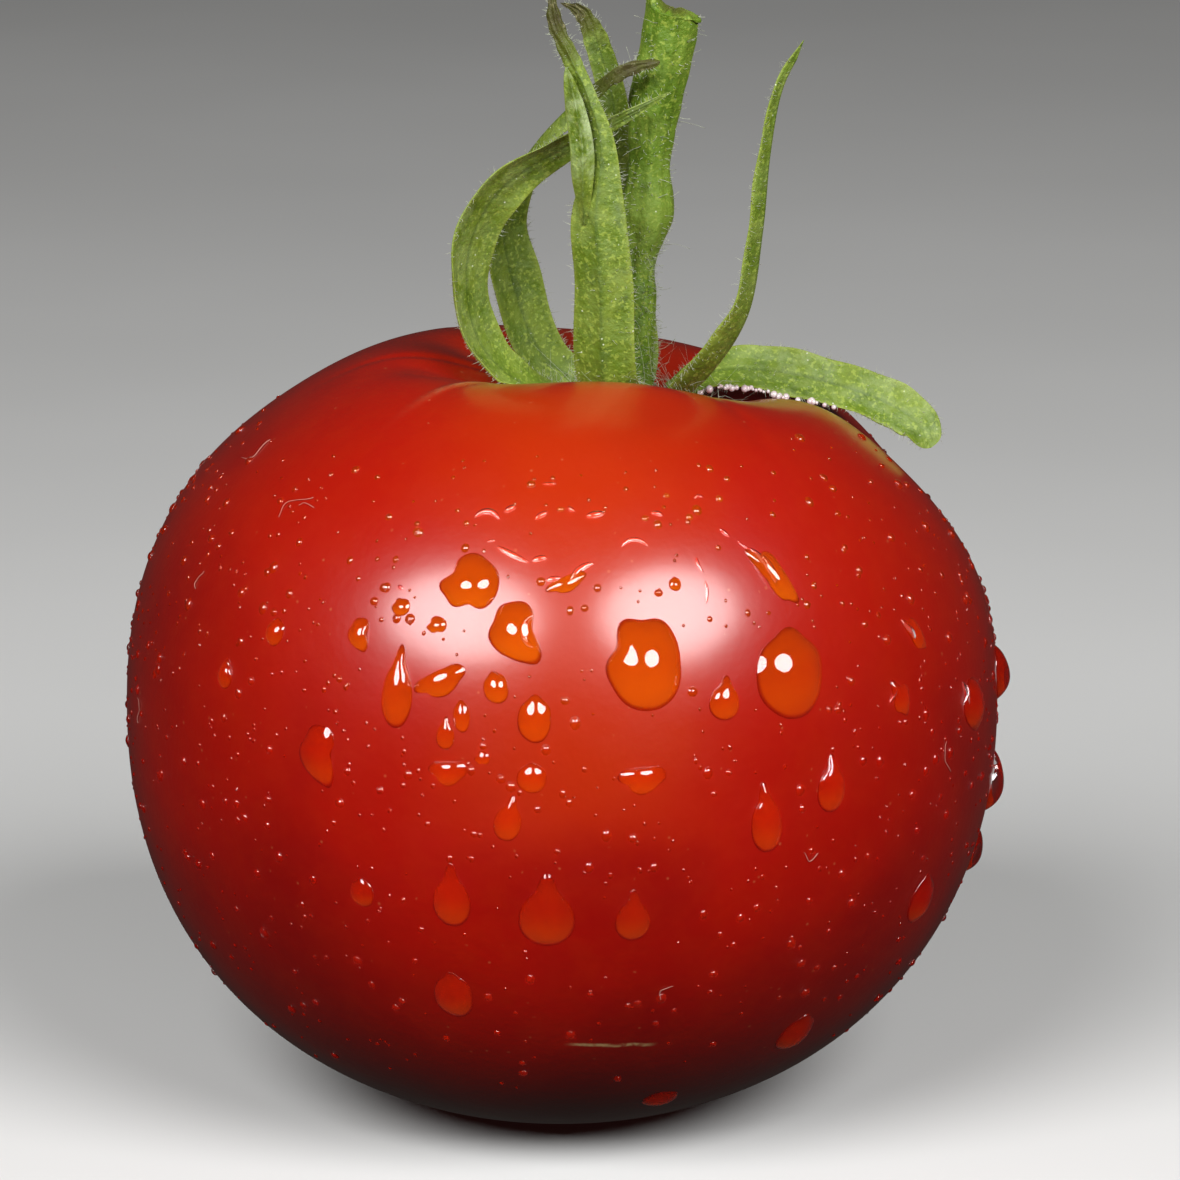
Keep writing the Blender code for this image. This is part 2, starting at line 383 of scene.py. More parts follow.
def skin_colour(paint):
    """The ripe skin's colour: crimson in blotches, painted light as orange in front of the crown where the
    lamps fall most squarely, and painted shade as crimson towards the underside.
    """
    fruit = settings("fruit")
    height = paint.along(0.0, -0.35, 1.0)
    cloud = paint.noise(55.0, 2.0, 0.5, 0.4)
    broad = paint.plus(paint.between(height, 0.012, 0.052, -0.35, 0.75), paint.times(cloud, 0.6))
    aside = paint.plus(paint.aside(0.001), paint.times(paint.noise(160.0, 2.0), 0.006))
    # Painted light: an orange stripe in front of the crown, near the middle and high up, where the lamps fall
    # most squarely.
    painted_lit_band = paint.times(paint.between(broad, 0.3, 1.05), paint.between(aside, 0.005, 0.015, 1.0, 0.16))
    colour = paint.mix(painted_lit_band, fruit.ripe, fruit.orange)
    # Painted shade: the crimson deepens towards the underside, away from the lamps; the crimson blotches from
    # noise are the skin's own.
    low_down = paint.between(height, 0.0, 0.06, -0.12, 0.2)
    deep = paint.math("SUBTRACT", paint.noise(70.0, 1.5, 0.5, 0.3), low_down)
    colour = paint.mix(paint.between(deep, 0.42, 0.7, 0.0, 0.75), colour, fruit.crimson)
    streaks = paint.between(paint.noise(420.0, 4.0, 0.65, 0.3), 0.35, 0.75, 0.0, 0.16)
    return paint.mix(streaks, colour, fruit.orange)


def pale_line(paint):
    """A short wavy line low on the front, broken in places and fading at its ends."""
    middle, level = SCAR_LINE
    wavy = paint.times(paint.noise(500.0, 3.0), 0.0005)
    off = paint.math("SUBTRACT", paint.along(0.03, 0.0, 1.0), paint.plus(wavy, level))
    thin = paint.between(paint.math("ABSOLUTE", off), 0.00004, 0.00018, 1.0, 0.0)
    line = paint.times(thin, paint.between(paint.aside(middle), 0.0018, 0.003, 1.0, 0.0))
    line = paint.times(line, paint.between(paint.along(0.0, -1.0, 0.0), 0.0, 0.01))
    return paint.times(line, paint.between(paint.noise(1500.0, 2.0), 0.3, 0.6))


def skin_material():
    """Waxy skin: a broad soft gloss under a tighter one, pale pinprick dots and a faint orange peel."""
    paint = Paint(
        "waxy_skin", Coat_Weight=0.9, Coat_Roughness=0.208, Coat_IOR=1.6, IOR=1.5, Specular_IOR_Level=0.25,
        Subsurface_Weight=0.12, Subsurface_Radius=(1.0, 0.22, 0.08), Subsurface_Scale=0.003,
    )
    colour = skin_colour(paint)
    chosen = paint.between(paint.noise(1400.0, 1.0), 0.54, 0.6)
    dot = paint.times(paint.dots(950.0, 0.06, 0.13, 1.0), paint.times(chosen, 0.3))
    colour = paint.mix(dot, colour, (0.6, 0.16, 0.06, 1))
    scar = paint.value_of("scar")
    rough_scar = paint.times(scar, paint.between(paint.noise(2600.0, 4.0), 0.35, 0.6, 0.5, 1.0))
    colour = paint.mix(rough_scar, colour, (0.42, 0.24, 0.1, 1))
    colour = paint.mix(pale_line(paint), colour, (0.6, 0.36, 0.16, 1))
    peel = paint.bump(paint.noise(2300.0, 2.0), 0.000012)
    dimples = paint.bump(paint.noise(330.0, 3.0, 0.55), 0.00009, 0.55, peel)
    cloudy = paint.between(paint.noise(150.0, 4.0, 0.6), 0.3, 0.7, 0.29, 0.39)
    return paint.set(Base_Color=colour, Roughness=paint.plus(cloudy, paint.times(scar, 0.3)), Normal=dimples)


def wet_skin_material():
    """Skin seen through a drop: clear of the haze, darkened to two thirds, with painted light as orange near
    the lamps' highlights and as a caustic low down, and painted shade at the drop's edge.
    """
    paint = Paint("wet_skin", Specular_IOR_Level=0.0, Roughness=0.6)
    colour = paint.mix(1.0, skin_colour(paint), (0.66, 0.66, 0.66, 1), "MULTIPLY")
    # Painted light: the skin under a drop turns orange high up and near the middle, where the lamps'
    # highlights fall.
    high = paint.between(paint.along(0.0, 0.0, 1.0), 0.028, 0.038, 0.12, 1.0)
    painted_lit_share = paint.times(high, paint.between(paint.aside(0.002), 0.01, 0.02, 1.0, 0.3))
    colour = paint.mix(paint.times(painted_lit_share, 0.42), colour, (0.24, 0.055, 0.0005, 1))
    # Painted light: a caustic, lighter low inside each drop, strongest near the lamps' highlights.
    glow = paint.times(paint.value_of("glow"), paint.math("MAXIMUM", painted_lit_share, 0.3))
    colour = paint.mix(glow, colour, (0.36, 0.062, 0.001, 1))
    # Painted shade: the skin under a drop darkens towards the drop's edge.
    return paint.set(Base_Color=paint.mix(paint.value_of("rim"), colour, (0.13, 0.0008, 0.0005, 1)))


def water_material():
    """Clear water, which lets lamps light what lies under it."""
    paint = Paint(
        "water", Base_Color=(1, 1, 1, 1), Roughness=0.0, IOR=1.33, Transmission_Weight=1.0, Coat_Weight=1.0,
        Coat_Roughness=0.0, Coat_IOR=1.6,
    )
    clear = paint.node("BsdfTransparent", 0)
    shadow = paint.node("LightPath", "Is Shadow Ray")
    either = paint.node("MixShader", 0, shadow, paint.shader.outputs[0], clear)
    paint.tree.links.new(either, paint.tree.nodes["Material Output"].inputs["Surface"])
    return paint.material


def tinted(colour, red, green, blue):
    """An opaque colour with its red, green and blue scaled."""
    return colour[0] * red, colour[1] * green, colour[2] * blue, 1


def leaf_material(name, green, pale, velvet):
    """Green plant skin with pale velvet, blotches, a midrib line, frost, painted highlights of dew and
    withered ends.
    """
    paint = Paint(
        name, Sheen_Weight=velvet, Sheen_Roughness=0.4, Sheen_Tint=(0.8, 0.9, 0.25, 1),
        Specular_IOR_Level=0.4, Subsurface_Weight=0.08, Subsurface_Radius=(0.5, 1.0, 0.15),
        Subsurface_Scale=0.0006,
    )
    blotch = paint.noise(420.0, 4.0, 0.6, 0.5)
    colour = paint.mix(paint.between(blotch, 0.38, 0.68, 0.0, 0.4), green, pale)
    darker = paint.between(paint.noise(900.0, 3.0, 0.6), 0.52, 0.72, 0.0, 0.55)
    colour = paint.mix(darker, colour, tinted(green, 0.35, 0.42, 0.4))
    velvet_dots = paint.between(paint.noise(3400.0, 2.0, 0.6), 0.53, 0.65, 0.0, 0.7)
    colour = paint.mix(velvet_dots, colour, (0.3, 0.39, 0.05, 1))
    colour = paint.mix(paint.value_of("edge"), colour, pale)
    colour = paint.mix(paint.value_of("rib"), colour, tinted(green, 0.4, 0.5, 0.4))
    rime = paint.times(paint.value_of("frost"), paint.between(paint.noise(750.0, 4.0, 0.65), 0.36, 0.62))
    colour = paint.mix(rime, colour, (0.42, 0.52, 0.24, 1))
    # Painted highlight: scattered pale dots stand in for small highlights of the lamps on dew.
    chosen = paint.between(paint.noise(2100.0, 1.0), 0.52, 0.6)
    painted_glint = paint.times(paint.dots(1900.0, 0.05, 0.15, 0.8), chosen)
    colour = paint.mix(painted_glint, colour, (0.75, 0.8, 0.6, 1))
    dry = paint.plus(paint.value_of("dry"), paint.times(paint.noise(1100.0, 3.0, 0.6), 0.6))
    olive = (0.5 * green[0] + 0.03, 0.45 * green[1] + 0.02, 0.5 * green[2] + 0.004, 1)
    colour = paint.mix(paint.between(dry, 0.45, 0.85), colour, olive)
    dry = paint.between(dry, 0.78, 1.24)
    colour = paint.mix(dry, colour, settings("sepals").withered)
    speck = paint.times(dry, paint.between(paint.noise(2700.0, 3.0, 0.7), 0.56, 0.66, 0.0, 0.7))
    colour = paint.mix(speck, colour, (0.3, 0.27, 0.13, 1))
    fuzz = paint.bump(paint.noise(3600.0, 3.0, 0.7), 0.00006)
    warts = paint.bump(paint.noise(1300.0, 4.0, 0.6), 0.0002, 0.8, fuzz)
    return paint.set(Base_Color=colour, Roughness=paint.between(blotch, 0.3, 0.7, 0.48, 0.66), Normal=warts)


def hair_material(name, pale):
    """Pale plant hair or lint, a little darker in places."""
    paint = Paint(name, Roughness=0.45, Sheen_Weight=0.2)
    patchy = paint.between(paint.noise(900.0, 2.0), 0.3, 0.7, 0.0, 0.5)
    colour = paint.mix(patchy, pale, tinted(pale, 0.55, 0.6, 0.5))
    return paint.set(Base_Color=colour, Normal=paint.bump(paint.noise(9000.0, 1.0), 0.00001))


# ---------------------------------------------------------------- fruit

CAVITY = STALK_LOW.x + 2.24 * MM, STALK_LOW.y + 2.28 * MM  # the stalk's foot stands in its middle
# Folds out of the cavity: direction and half width in degrees, then in millimetres the depth (negative for a
# raised lip), how far from the cavity's middle each is deepest, and how far it reaches from there.
FOLDS = (
    (165, 14, 0.8, 8.5, 4.5), (209, 24, 1.2, 10, 4.5), (198, 9, 0.7, 11, 4), (272, 34, -1.0, 9.5, 3.4),
    (112, 16, 0.7, 8.5, 4.5), (58, 15, 0.8, 8.5, 4.5), (8, 13, 1.1, 8.5, 4.5), (12, 14, 2.8, 17, 4.5),
    (0, 32, 1.1, 18, 6), (182, 38, 0.8, 23, 7),
)
RIDGE = (222, 1.3, -0.09, 14, 4)  # a corky ridge on the shoulder, laid out as the folds are
# Fine creases on the shoulders, laid out the same way.
CREASES = (
    (-4, 1.6, 0.1, 14, 6), (-9, 1.3, 0.08, 13, 5), (1, 1.5, 0.12, 15, 5), (186, 1.8, 0.12, 13, 5), RIDGE,
    (300, 2.5, 0.05, 12, 5), (40, 2, 0.1, 13, 5), (85, 2, 0.1, 13, 5), (140, 2, 0.1, 13, 5),
)
# Slow swellings round the fruit: how many, how far out in millimetres, and how they are turned and tilted.
SWELLINGS = ((3, 0.1, 0.7, 0.6), (5, 0.07, 2.1, -0.9), (8, 0.035, 0.4, 1.7))
SKIN_AROUND = 448
SKIN_LEVELS = 214


def from_cavity(x, y):
    """The heading in degrees and the distance of points, seen from the cavity's middle."""
    off_x, off_y = x - CAVITY[0], y - CAVITY[1]
    return np.degrees(np.arctan2(off_y, off_x)), np.hypot(off_x, off_y)


def pressed_in(x, y, up):
    """How far cavity, folds and creases press the crown down: bells of the distance from the cavity's middle,
    each fold's times a bell of the turn from its direction. All fade where the share of the rise is small."""
    fruit = settings("fruit")
    heading, away = from_cavity(x, y)
    depth = fruit.cavity_depth * bell(away, fruit.cavity_radius)
    for direction, half_width, *sizes in FOLDS + CREASES:
        fold_depth, middle, reach = np.array(sizes) * MM
        turned = (heading - direction + 180.0) % 360.0 - 180.0
        depth = depth + fold_depth * bell(turned, half_width) * bell(away - middle, reach)
    return depth * smoothstep(0.0, 0.45, up)


def half_towards(rise):
    """The fullness and the reach of the fruit's upper half where the rise above the belt is over 0, and of
    its lower half elsewhere."""
    fruit = settings("fruit")
    fullness = np.where(rise > 0, fruit.upper_fullness, fruit.lower_fullness)
    return fullness, np.where(rise > 0, fruit.crown_rise, fruit.belt_height + fruit.flat_depth)


def skin_at(heading, lift):
    """Points of the skin. Outwards it is half the width times cos(lift) to 2 / fullness. Upwards it is
    sin(lift) to the same power times the reach, less what is pressed in. Swellings push it in and out."""
    fruit = settings("fruit")
    fullness, reach = half_towards(lift)
    level = np.maximum(np.cos(lift), 0.0) ** (2.0 / fullness)
    out = fruit.width / 2 * level
    for count, depth, turn, tilt in SWELLINGS:
        out = out + depth * MM * np.sin(count * heading + turn + tilt * lift) * level**2
    x, y = out * np.cos(heading), out * np.sin(heading)
    up = np.abs(np.sin(lift)) ** (2.0 / fullness)
    crown = fruit.belt_height + reach * up - pressed_in(x, y, up)
    under = np.maximum(0.0, fruit.belt_height - reach * up)
    away = np.hypot(x, y)
    scar = 0.22 * MM * bell(away, 1.5 * fruit.scar_radius) - 0.16 * MM * bell(away, 0.5 * fruit.scar_radius)
    return np.stack([x, y, np.where(lift > 0, crown, under + scar)], -1)


def skin_frame(heading, lift, step=2e-3):
    """The skin's point, its outward normal, and the directions to the right and up along it."""
    here = skin_at(heading, lift)
    right = unit(skin_at(heading + step, lift) - skin_at(heading - step, lift))
    up = unit(skin_at(heading, lift + step) - skin_at(heading, lift - step))
    return here, unit(np.cross(right, up)), right, up


def skin_below(points):
    """The heading and lift of the skin that lies on the line from the belt's middle to each point."""
    fruit = settings("fruit")
    rise = points[..., 2] - fruit.belt_height
    fullness, reach = half_towards(rise)
    slope = np.abs(rise) / np.maximum(np.hypot(points[..., 0], points[..., 1]), 1e-9)
    lift = np.arctan((slope * (fruit.width / 2) / reach) ** (fullness / 2.0))
    return np.arctan2(points[..., 1], points[..., 0]), np.copysign(lift, rise)


def skin_spot(right_of_front, height):
    """The heading and lift of the skin at degrees to the right of the front and at a height."""
    rise = height - settings("fruit").belt_height
    fullness, reach = half_towards(rise)
    lift = np.arcsin(np.minimum(1.0, (np.abs(rise) / reach) ** (fullness / 2.0)))
    return np.radians(right_of_front - 90.0), np.copysign(lift, rise)


def skin_offset(heading, lift, a, b):
    """Skin points and normals at offsets a to the right and b upwards from a spot, in its tangent plane."""
    here, _, right, up = skin_frame(heading, lift)
    point, normal, _, _ = skin_frame(*skin_below(here + a[..., None] * right + b[..., None] * up))
    return point, normal


def crown_height(x, y):
    """The fruit's upper surface at points inside its outline."""
    fruit = settings("fruit")
    share = np.minimum(1.0, np.hypot(x, y) / (fruit.width / 2))
    rise = (1.0 - share**fruit.upper_fullness) ** (1.0 / fruit.upper_fullness)
    return fruit.belt_height + fruit.crown_rise * rise - pressed_in(x, y, rise)


def make_skin():
    """The whole skin as a closed surface over headings and lifts, with one point at each pole."""
    lift = np.linspace(-math.pi / 2, math.pi / 2, SKIN_LEVELS + 2)[1:-1]
    points, *faces = closed_tube(skin_at(*np.meshgrid(even_turns(SKIN_AROUND), lift)))
    points[-2:] = skin_at(np.zeros(2), np.array([-math.pi / 2, math.pi / 2]))
    x, y, z = points.T
    scar = np.where(z < 10.0 * MM, bell(np.hypot(x, y), settings("fruit").scar_radius), 0.0)
    heading, away = from_cavity(x, y)
    direction, _, _, middle, _ = RIDGE
    ridge = bell(heading % 360.0 - direction, 1.1) * bell(away - middle * MM, 3.0 * MM) * (z > 40.0 * MM)
    work = Patchwork()
    work.add(points, *faces, scar=scar + 0.55 * ridge)
    hand_over(work.build("skin", skin_material()), "fruit_skin", "fruit")


# ---------------------------------------------------------------- stalk

STALK_LEAN = (0.0, 0.03, 0.08, 0.12, 0.29, 0.36, 0.47, 0.71, 0.87)  # shares of its lean, at even steps up it
STALK_STATIONS = 260
STALK_AROUND = 96
STALK_TOP = 0.9  # the share of its rings that lead up to the torn end; the others close over it


def foot():
    """The middle of the stalk's foot."""
    return np.array([*CAVITY, STALK_LOW.z])


def stalk_axis(height):
    """The stalk's middle line above its foot: nearly upright to the knuckle, then leaning to the right."""
    stalk = settings("stalk")
    share = np.clip(height / stalk.length, 0.0, 1.0)
    sway = 0.3 * MM * np.sin(FULL_TURN * share)
    return np.stack([stalk.lean * through(STALK_LEAN, share), -sway, height], -1)


def stalk_radius(height):
    """The stalk's radius: flared at the foot, a ball at the knuckle over a narrow neck, thicker above it."""
    stalk = settings("stalk")
    flare = (stalk.foot_radius - stalk.radius) * np.exp(-height / (0.9 * MM))
    above = height - stalk.knuckle_height
    ball = 0.52 * MM * bell(above, 1.9 * MM) * smoothstep(-3.2 * MM, -1.6 * MM, above)
    neck = -0.1 * MM * bell(above + 3.3 * MM, 1.0 * MM)
    thicker = 0.4 * MM * smoothstep(3.0 * MM, 8.5 * MM, above)
    thicker = thicker + 0.15 * MM * smoothstep(-1.0 * MM, 2.0 * MM, above)
    return stalk.radius + flare + ball + neck + thicker


def stalk_surface(height, turn):
    """Points of the stalk: its radius round its axis, with ridges along it and warts."""
    ridges = 0.05 * MM * np.sin(5 * turn + 160.0 * height)
    ridges = ridges + 0.025 * MM * np.sin(11 * turn + 1.0 - 90.0 * height)
    lumps = 0.05 * MM * np.sin(1900.0 * height + 2.0 * np.sin(turn)) * np.sin(3 * turn + 900.0 * height)
    radius = stalk_radius(height) + ridges + lumps
    ring = np.stack([np.cos(turn), np.sin(turn), np.zeros_like(turn)], -1)
    return foot() + stalk_axis(height) + radius[..., None] * ring


def make_stalk():
    """The stalk up to its torn end, where the last rings shrink by cos and rise by sin over a slanted, ragged
    top with a spike on its left."""
    stalk = settings("stalk")
    share = np.linspace(0.0, 1.0, STALK_STATIONS)[:, None]
    turns, heights = np.meshgrid(
        even_turns(STALK_AROUND), stalk.length * np.minimum(share / STALK_TOP, 1.0)
    )
    over = np.clip((share - STALK_TOP) / 0.1, 0.0, 1.0)
    middle = foot() + stalk_axis(heights)
    points = middle + (stalk_surface(heights, turns) - middle) * np.cos(over * math.pi / 2)[..., None]
    ragged = 0.12 * MM * np.sin(7 * turns + 1.3) + 0.08 * MM * np.sin(13 * turns)
    spike = 1.0 * MM * bell((turns - 3.3 + math.pi) % FULL_TURN - math.pi, 0.5) * bell(over - 0.4, 0.3)
    dome = 0.42 * MM * np.sin(over * math.pi / 2) + (ragged * np.sin(over * math.pi) + spike) * (over > 0)
    slant = -0.32 * np.cos(turns) * np.linalg.norm(points - middle, axis=-1)
    near_top = smoothstep(0.86, 0.92, share)
    points[..., 2] += dome + slant * near_top * (1 - 0.5 * over) - 0.85 * MM * near_top
    points, *faces = closed_tube(points)
    above = heights - stalk.knuckle_height
    frost = 0.35 * bell(heights, 2.0 * MM) + 0.3 * bell(above + 3 * MM, 2.0 * MM)
    work = Patchwork()
    work.add(
        points, *faces, dry=with_ends(0.75 * over + 0.0 * turns, 0.0, 0.75), rib=0.0,
        frost=with_ends(0.6 * frost, 0.0, 0.0), edge=with_ends(0.5 * bell(above, 2.2 * MM), 0.0, 0.0),
    )
    material = leaf_material("stalk_skin", stalk.green, stalk.pale, 0.2)
    hand_over(work.build("stalk_stub", material), "stalk_green", "stalk")


# ---------------------------------------------------------------- sepals

# Each blade: the direction of its root in degrees, its turn about its middle line at root, middle and tip,
# how far its edges stand up, how withered its tip is, how frosty its face is, the route of its middle line
# from the calyx's middle in millimetres (right, back, up), and its widths at the root and along the route.
SEPALS = {
    "sepal_front": dict(
        direction=-96, turn=(0, 0, 35), cup=0.5, dry=0.8, frost=0.15,
        route=(
            (-1.7, -5.2, 3.2), (-1.9, -5.8, 9), (-2.2, -5.8, 13.6), (-1.9, -5.6, 18), (-2.75, -5.4, 21.2),
            (-3.9, -5.1, 23.6), (-4.85, -4.8, 25.8), (-5.1, -4.6, 27.9),
        ),
        widths=(2.8, 4.1, 3.9, 3.5, 1.75, 1, 1.1, 0.95, 0.6),
    ),
    "front_lobe": dict(
        direction=-96, turn=(0, 12, 25), cup=1, dry=0, frost=1,
        route=(
            (-3.15, -6.2, 16), (-3.2, -6.2, 18.2), (-3.6, -6.2, 20.6), (-4, -6.1, 22.3), (-4.2, -6, 23.2),
        ),
        widths=(0.35, 1.35, 1.5, 1.25, 0.7, 0.15),
    ),
    "sepal_front_left": dict(
        direction=203, turn=(-10, -60, -85), cup=1.3, dry=0.12, frost=0.25,
        route=(
            (-6.9, -3.1, 2.2), (-10, -3.3, 5.4), (-10.6, -3.4, 10.6), (-8.7, -3.4, 14.8), (-5, -3.3, 17.4),
            (-1, -3.2, 19.4), (2.4, -3.2, 21.2),
        ),
        widths=(2.6, 3.8, 4, 3.9, 3.4, 2.3, 1, 0.3),
    ),
    "sepal_back_left": dict(
        direction=140, turn=(-45, -10, 65), cup=1.4, dry=0.8, frost=0.15,
        route=(
            (-5.8, 2.4, 3.2), (-7.8, 2.6, 8.2), (-8.3, 1.8, 12.6), (-6.2, 0.7, 16.5), (-3.5, -0.9, 19.9),
            (-0.9, -2.6, 22.4), (1.7, -3.2, 23.1),
        ),
        widths=(2.4, 3.1, 3.8, 3.8, 3, 1.8, 1.15, 0.9),
    ),
    "sepal_back": dict(
        direction=84, turn=(0, 0, 10), cup=1, dry=0.85, frost=0.1,
        route=(
            (0.3, 4.7, 3.4), (-0.5, 4.8, 9.2), (-0.9, 4.2, 14.8), (-1.2, 3.6, 19.4), (-2.2, 3.3, 23.2),
            (-3.2, 3.2, 25.2), (-4.6, 3.2, 25.9),
        ),
        widths=(2.2, 2.9, 2.9, 2.5, 1.9, 1.6, 1, 0.15),
    ),
    "sepal_back_right": dict(
        direction=20, turn=(10, 50, 42), cup=0.9, dry=0, frost=0.3,
        route=(
            (5.4, 1.1, 2.3), (9, 1.8, 2.2), (12.8, 2.3, 1.35), (16.2, 2.4, 0.1), (18.2, 2, -1.1),
            (19.2, 1.3, -2.6),
        ),
        widths=(2.4, 3.5, 3.5, 3.3, 3.3, 3.1, 2.5),
    ),
    "sepal_front_right": dict(
        direction=-38, turn=(0, 20, 18), cup=1.4, dry=0, frost=0.15,
        route=(
            (4.6, -3.6, 3.5), (6.9, -4.4, 7.4), (7.8, -4.6, 12.6), (8.3, -4.5, 17.6), (9.1, -4.2, 21.6),
            (10.7, -4, 24.6),
        ),
        widths=(2.4, 3.3, 2.9, 2.1, 1.6, 1.1, 0.3),
    ),
}
LOBE_ROOT = (-3.05, -5.65, 13.2)  # where the front sepal's second lobe comes free, as on a route
SEPAL_STATIONS = 200
SEPAL_AROUND = 56
ROOT_RING = 2.65 * MM  # the roots stand this far out round the stalk's foot
ROOT_LIFT = 0.9 * MM


def through(knots, along):
    """Values or points on a Catmull-Rom curve through evenly spaced knots, at shares 0 to 1 of its way."""
    knots = np.asarray(knots, float)
    ends = np.concatenate([[2 * knots[0] - knots[1]], knots, [2 * knots[-1] - knots[-2]]])
    place = np.clip(along, 0.0, 1.0) * (len(knots) - 1)
    span = np.minimum(place.astype(int), len(knots) - 2)
    t = place - span
    if knots.ndim > 1:
        t = t[..., None]
    before, start, end, after = (ends[span + step] for step in range(4))
    return 0.5 * (
        2 * start + (end - before) * t + (2 * before - 5 * start + 4 * end - after) * t**2
        + (3 * start - before - 3 * end + after) * t**3
    )


def sepal_line(name, share):
    """A blade's middle line: from the ring of roots, or the lobe's from the front sepal, along its route."""
    sepal = SEPALS[name]
    turn = math.radians(sepal["direction"])
    root = np.array([ROOT_RING * math.cos(turn), ROOT_RING * math.sin(turn), ROOT_LIFT])
    if name == "front_lobe":
        root = np.array(LOBE_ROOT) * MM
    return foot() + through(np.concatenate([[root], np.array(sepal["route"]) * MM]), share)


def blade_frames(line, direction, turns):
    """Directions across a blade and out of its inner face along its line: the first is carried along the line
    with the least twist, then both are turned about it."""
    onward = unit(np.gradient(line, axis=0))
    turn = math.radians(direction)
    across = np.array([-math.sin(turn), math.cos(turn), 0.0])
    carried = []
    for step in onward:
        across = across - step * across.dot(step)
        across = across / np.linalg.norm(across)
        carried.append(across)
    carried = np.array(carried)
    inner = np.cross(onward, carried)
    turned = carried * np.cos(turns)[:, None] + inner * np.sin(turns)[:, None]
    return turned, np.cross(onward, turned)


def kept_clear(points, room):
    """Points moved out of the stalk, and up off the skin where they would come too near."""
    height = points[..., 2] - foot()[2]
    beside = np.clip(height, 0.0, settings("stalk").length)
    off = (points - foot() - stalk_axis(beside)) * np.array([1.0, 1.0, 0.0])
    length = np.maximum(np.linalg.norm(off, axis=-1), 1e-9)
    near = np.maximum(stalk_radius(beside) + room - length, 0.0) * (height == beside)
    points = points + off / length[..., None] * near[..., None]
    floor = crown_height(points[..., 0], points[..., 1]) + 1.3 * room
    points[..., 2] = np.maximum(points[..., 2], floor)
    return points


def blade_rings(name):
    """The rings of a blade, and how far to the side each of their points is. A ring runs round a flat lens:
    across it goes side times the half width, and off it half the thickness times sin to 0.65, with a groove
    along the midrib, fainter ones beside it, edges that stand up as side squared, waves along the edges and
    wrinkles where it is dry."""
    sepal = SEPALS[name]
    thickness = settings("sepals").thickness
    share = np.linspace(0.0, 1.0, SEPAL_STATIONS)
    line = sepal_line(name, share)
    turns = np.radians(through(sepal["turn"], share))
    across, inner = blade_frames(line, sepal["direction"], turns)
    half = (through(sepal["widths"], share) * np.sqrt(1.0 - 0.995 * share**22) / 2 * MM)[:, None]
    way = share[:, None]
    wither = withered_at(sepal, way)
    half = half * (1.0 + 0.22 * wither * np.sin(75.0 * way) * np.sin(31.0 * way + 1.0))
    turn = even_turns(SEPAL_AROUND)
    side, face = np.cos(turn), np.sin(turn)
    cup = 2.0 * settings("sepals").cup * sepal["cup"] * (1.0 + 0.7 * wither)
    edge = np.sign(side)
    wave = 0.09 * np.sin(17.0 * way + 2.0 * edge) + 0.05 * np.sin(41.0 * way + 4.0 * edge)
    lift = half * (cup * side**2 + wave * side**4)
    middle = line[:, None] + across[:, None] * (side * half)[..., None] + inner[:, None] * lift[..., None]
    middle = kept_clear(middle, thickness * 0.5 + 0.06 * MM)
    lens = np.sign(face) * np.abs(face) ** 0.65 * (0.55 + 0.45 * bell(side, 0.4))
    rib = np.where(face < 0, -0.6 * bell(side, 0.11), -0.4 * bell(side, 0.09))
    veins = -0.14 * (bell(np.abs(side) - 0.5, 0.07) + bell(np.abs(side) - 0.26, 0.05))
    wrinkles = 0.5 * wither * np.sin(9.0 * side + 40.0 * way) * np.abs(face)
    thin = (0.35 + 0.65 * (half / half.max()) ** 0.7) * np.minimum(1.0, (1.0 - way) * 14 + 0.1)
    off = (lens + rib + veins * np.abs(face) + wrinkles) * thickness / 2 * thin
    return middle + inner[:, None] * off[..., None], side


def withered_at(sepal, share):
    """How withered a blade is along its way: it sets in over the last third."""
    return sepal["dry"] * smoothstep(0.6, 0.93, share)


def add_blade(work, name):
    """Adds one closed blade to the mesh, with its midrib, edges, frost and withered end as point values."""
    sepal = SEPALS[name]
    rings, side = blade_rings(name)
    points, *faces = closed_tube(rings)
    way = np.linspace(0.0, 1.0, SEPAL_STATIONS)[:, None] + 0.0 * side
    dry = withered_at(sepal, way)
    frost = sepal["frost"] * smoothstep(0.05, 0.4, way) * (0.7 + 0.3 * side) + 0.2 * bell(way, 0.07)
    rib = 0.6 * bell(side, 0.07) * (1.0 - smoothstep(0.75, 0.95, way))
    edge = 0.6 * smoothstep(0.78, 1.0, np.abs(side)) + 0.0 * way
    work.add(
        points, *faces, dry=with_ends(dry, 0.0, dry[-1, 0]), edge=with_ends(edge, 0.0, 0.0),
        rib=with_ends(rib, 0.0, 0.0), frost=with_ends(frost, 0.0, 0.0),
    )
    return rings


def make_sepals():
    """Six sepals as closed blades carried along their routes. The front one has a second, shorter lobe."""
    sepals = settings("sepals")
    material = leaf_material("sepal_skin", sepals.green, sepals.pale, 0.25)
    made = []
    for name in SEPALS:
        if name == "front_lobe":
            continue
        work = Patchwork()
        if name == "sepal_front":
            add_blade(work, "front_lobe")
        made.append(add_blade(work, name))
        hand_over(work.build(name + "_blade", material), "sepal_green", name)
    return made


# ---------------------------------------------------------------- hairs and lint

HAIR_STATIONS = 5
HAIR_SIDES = 3


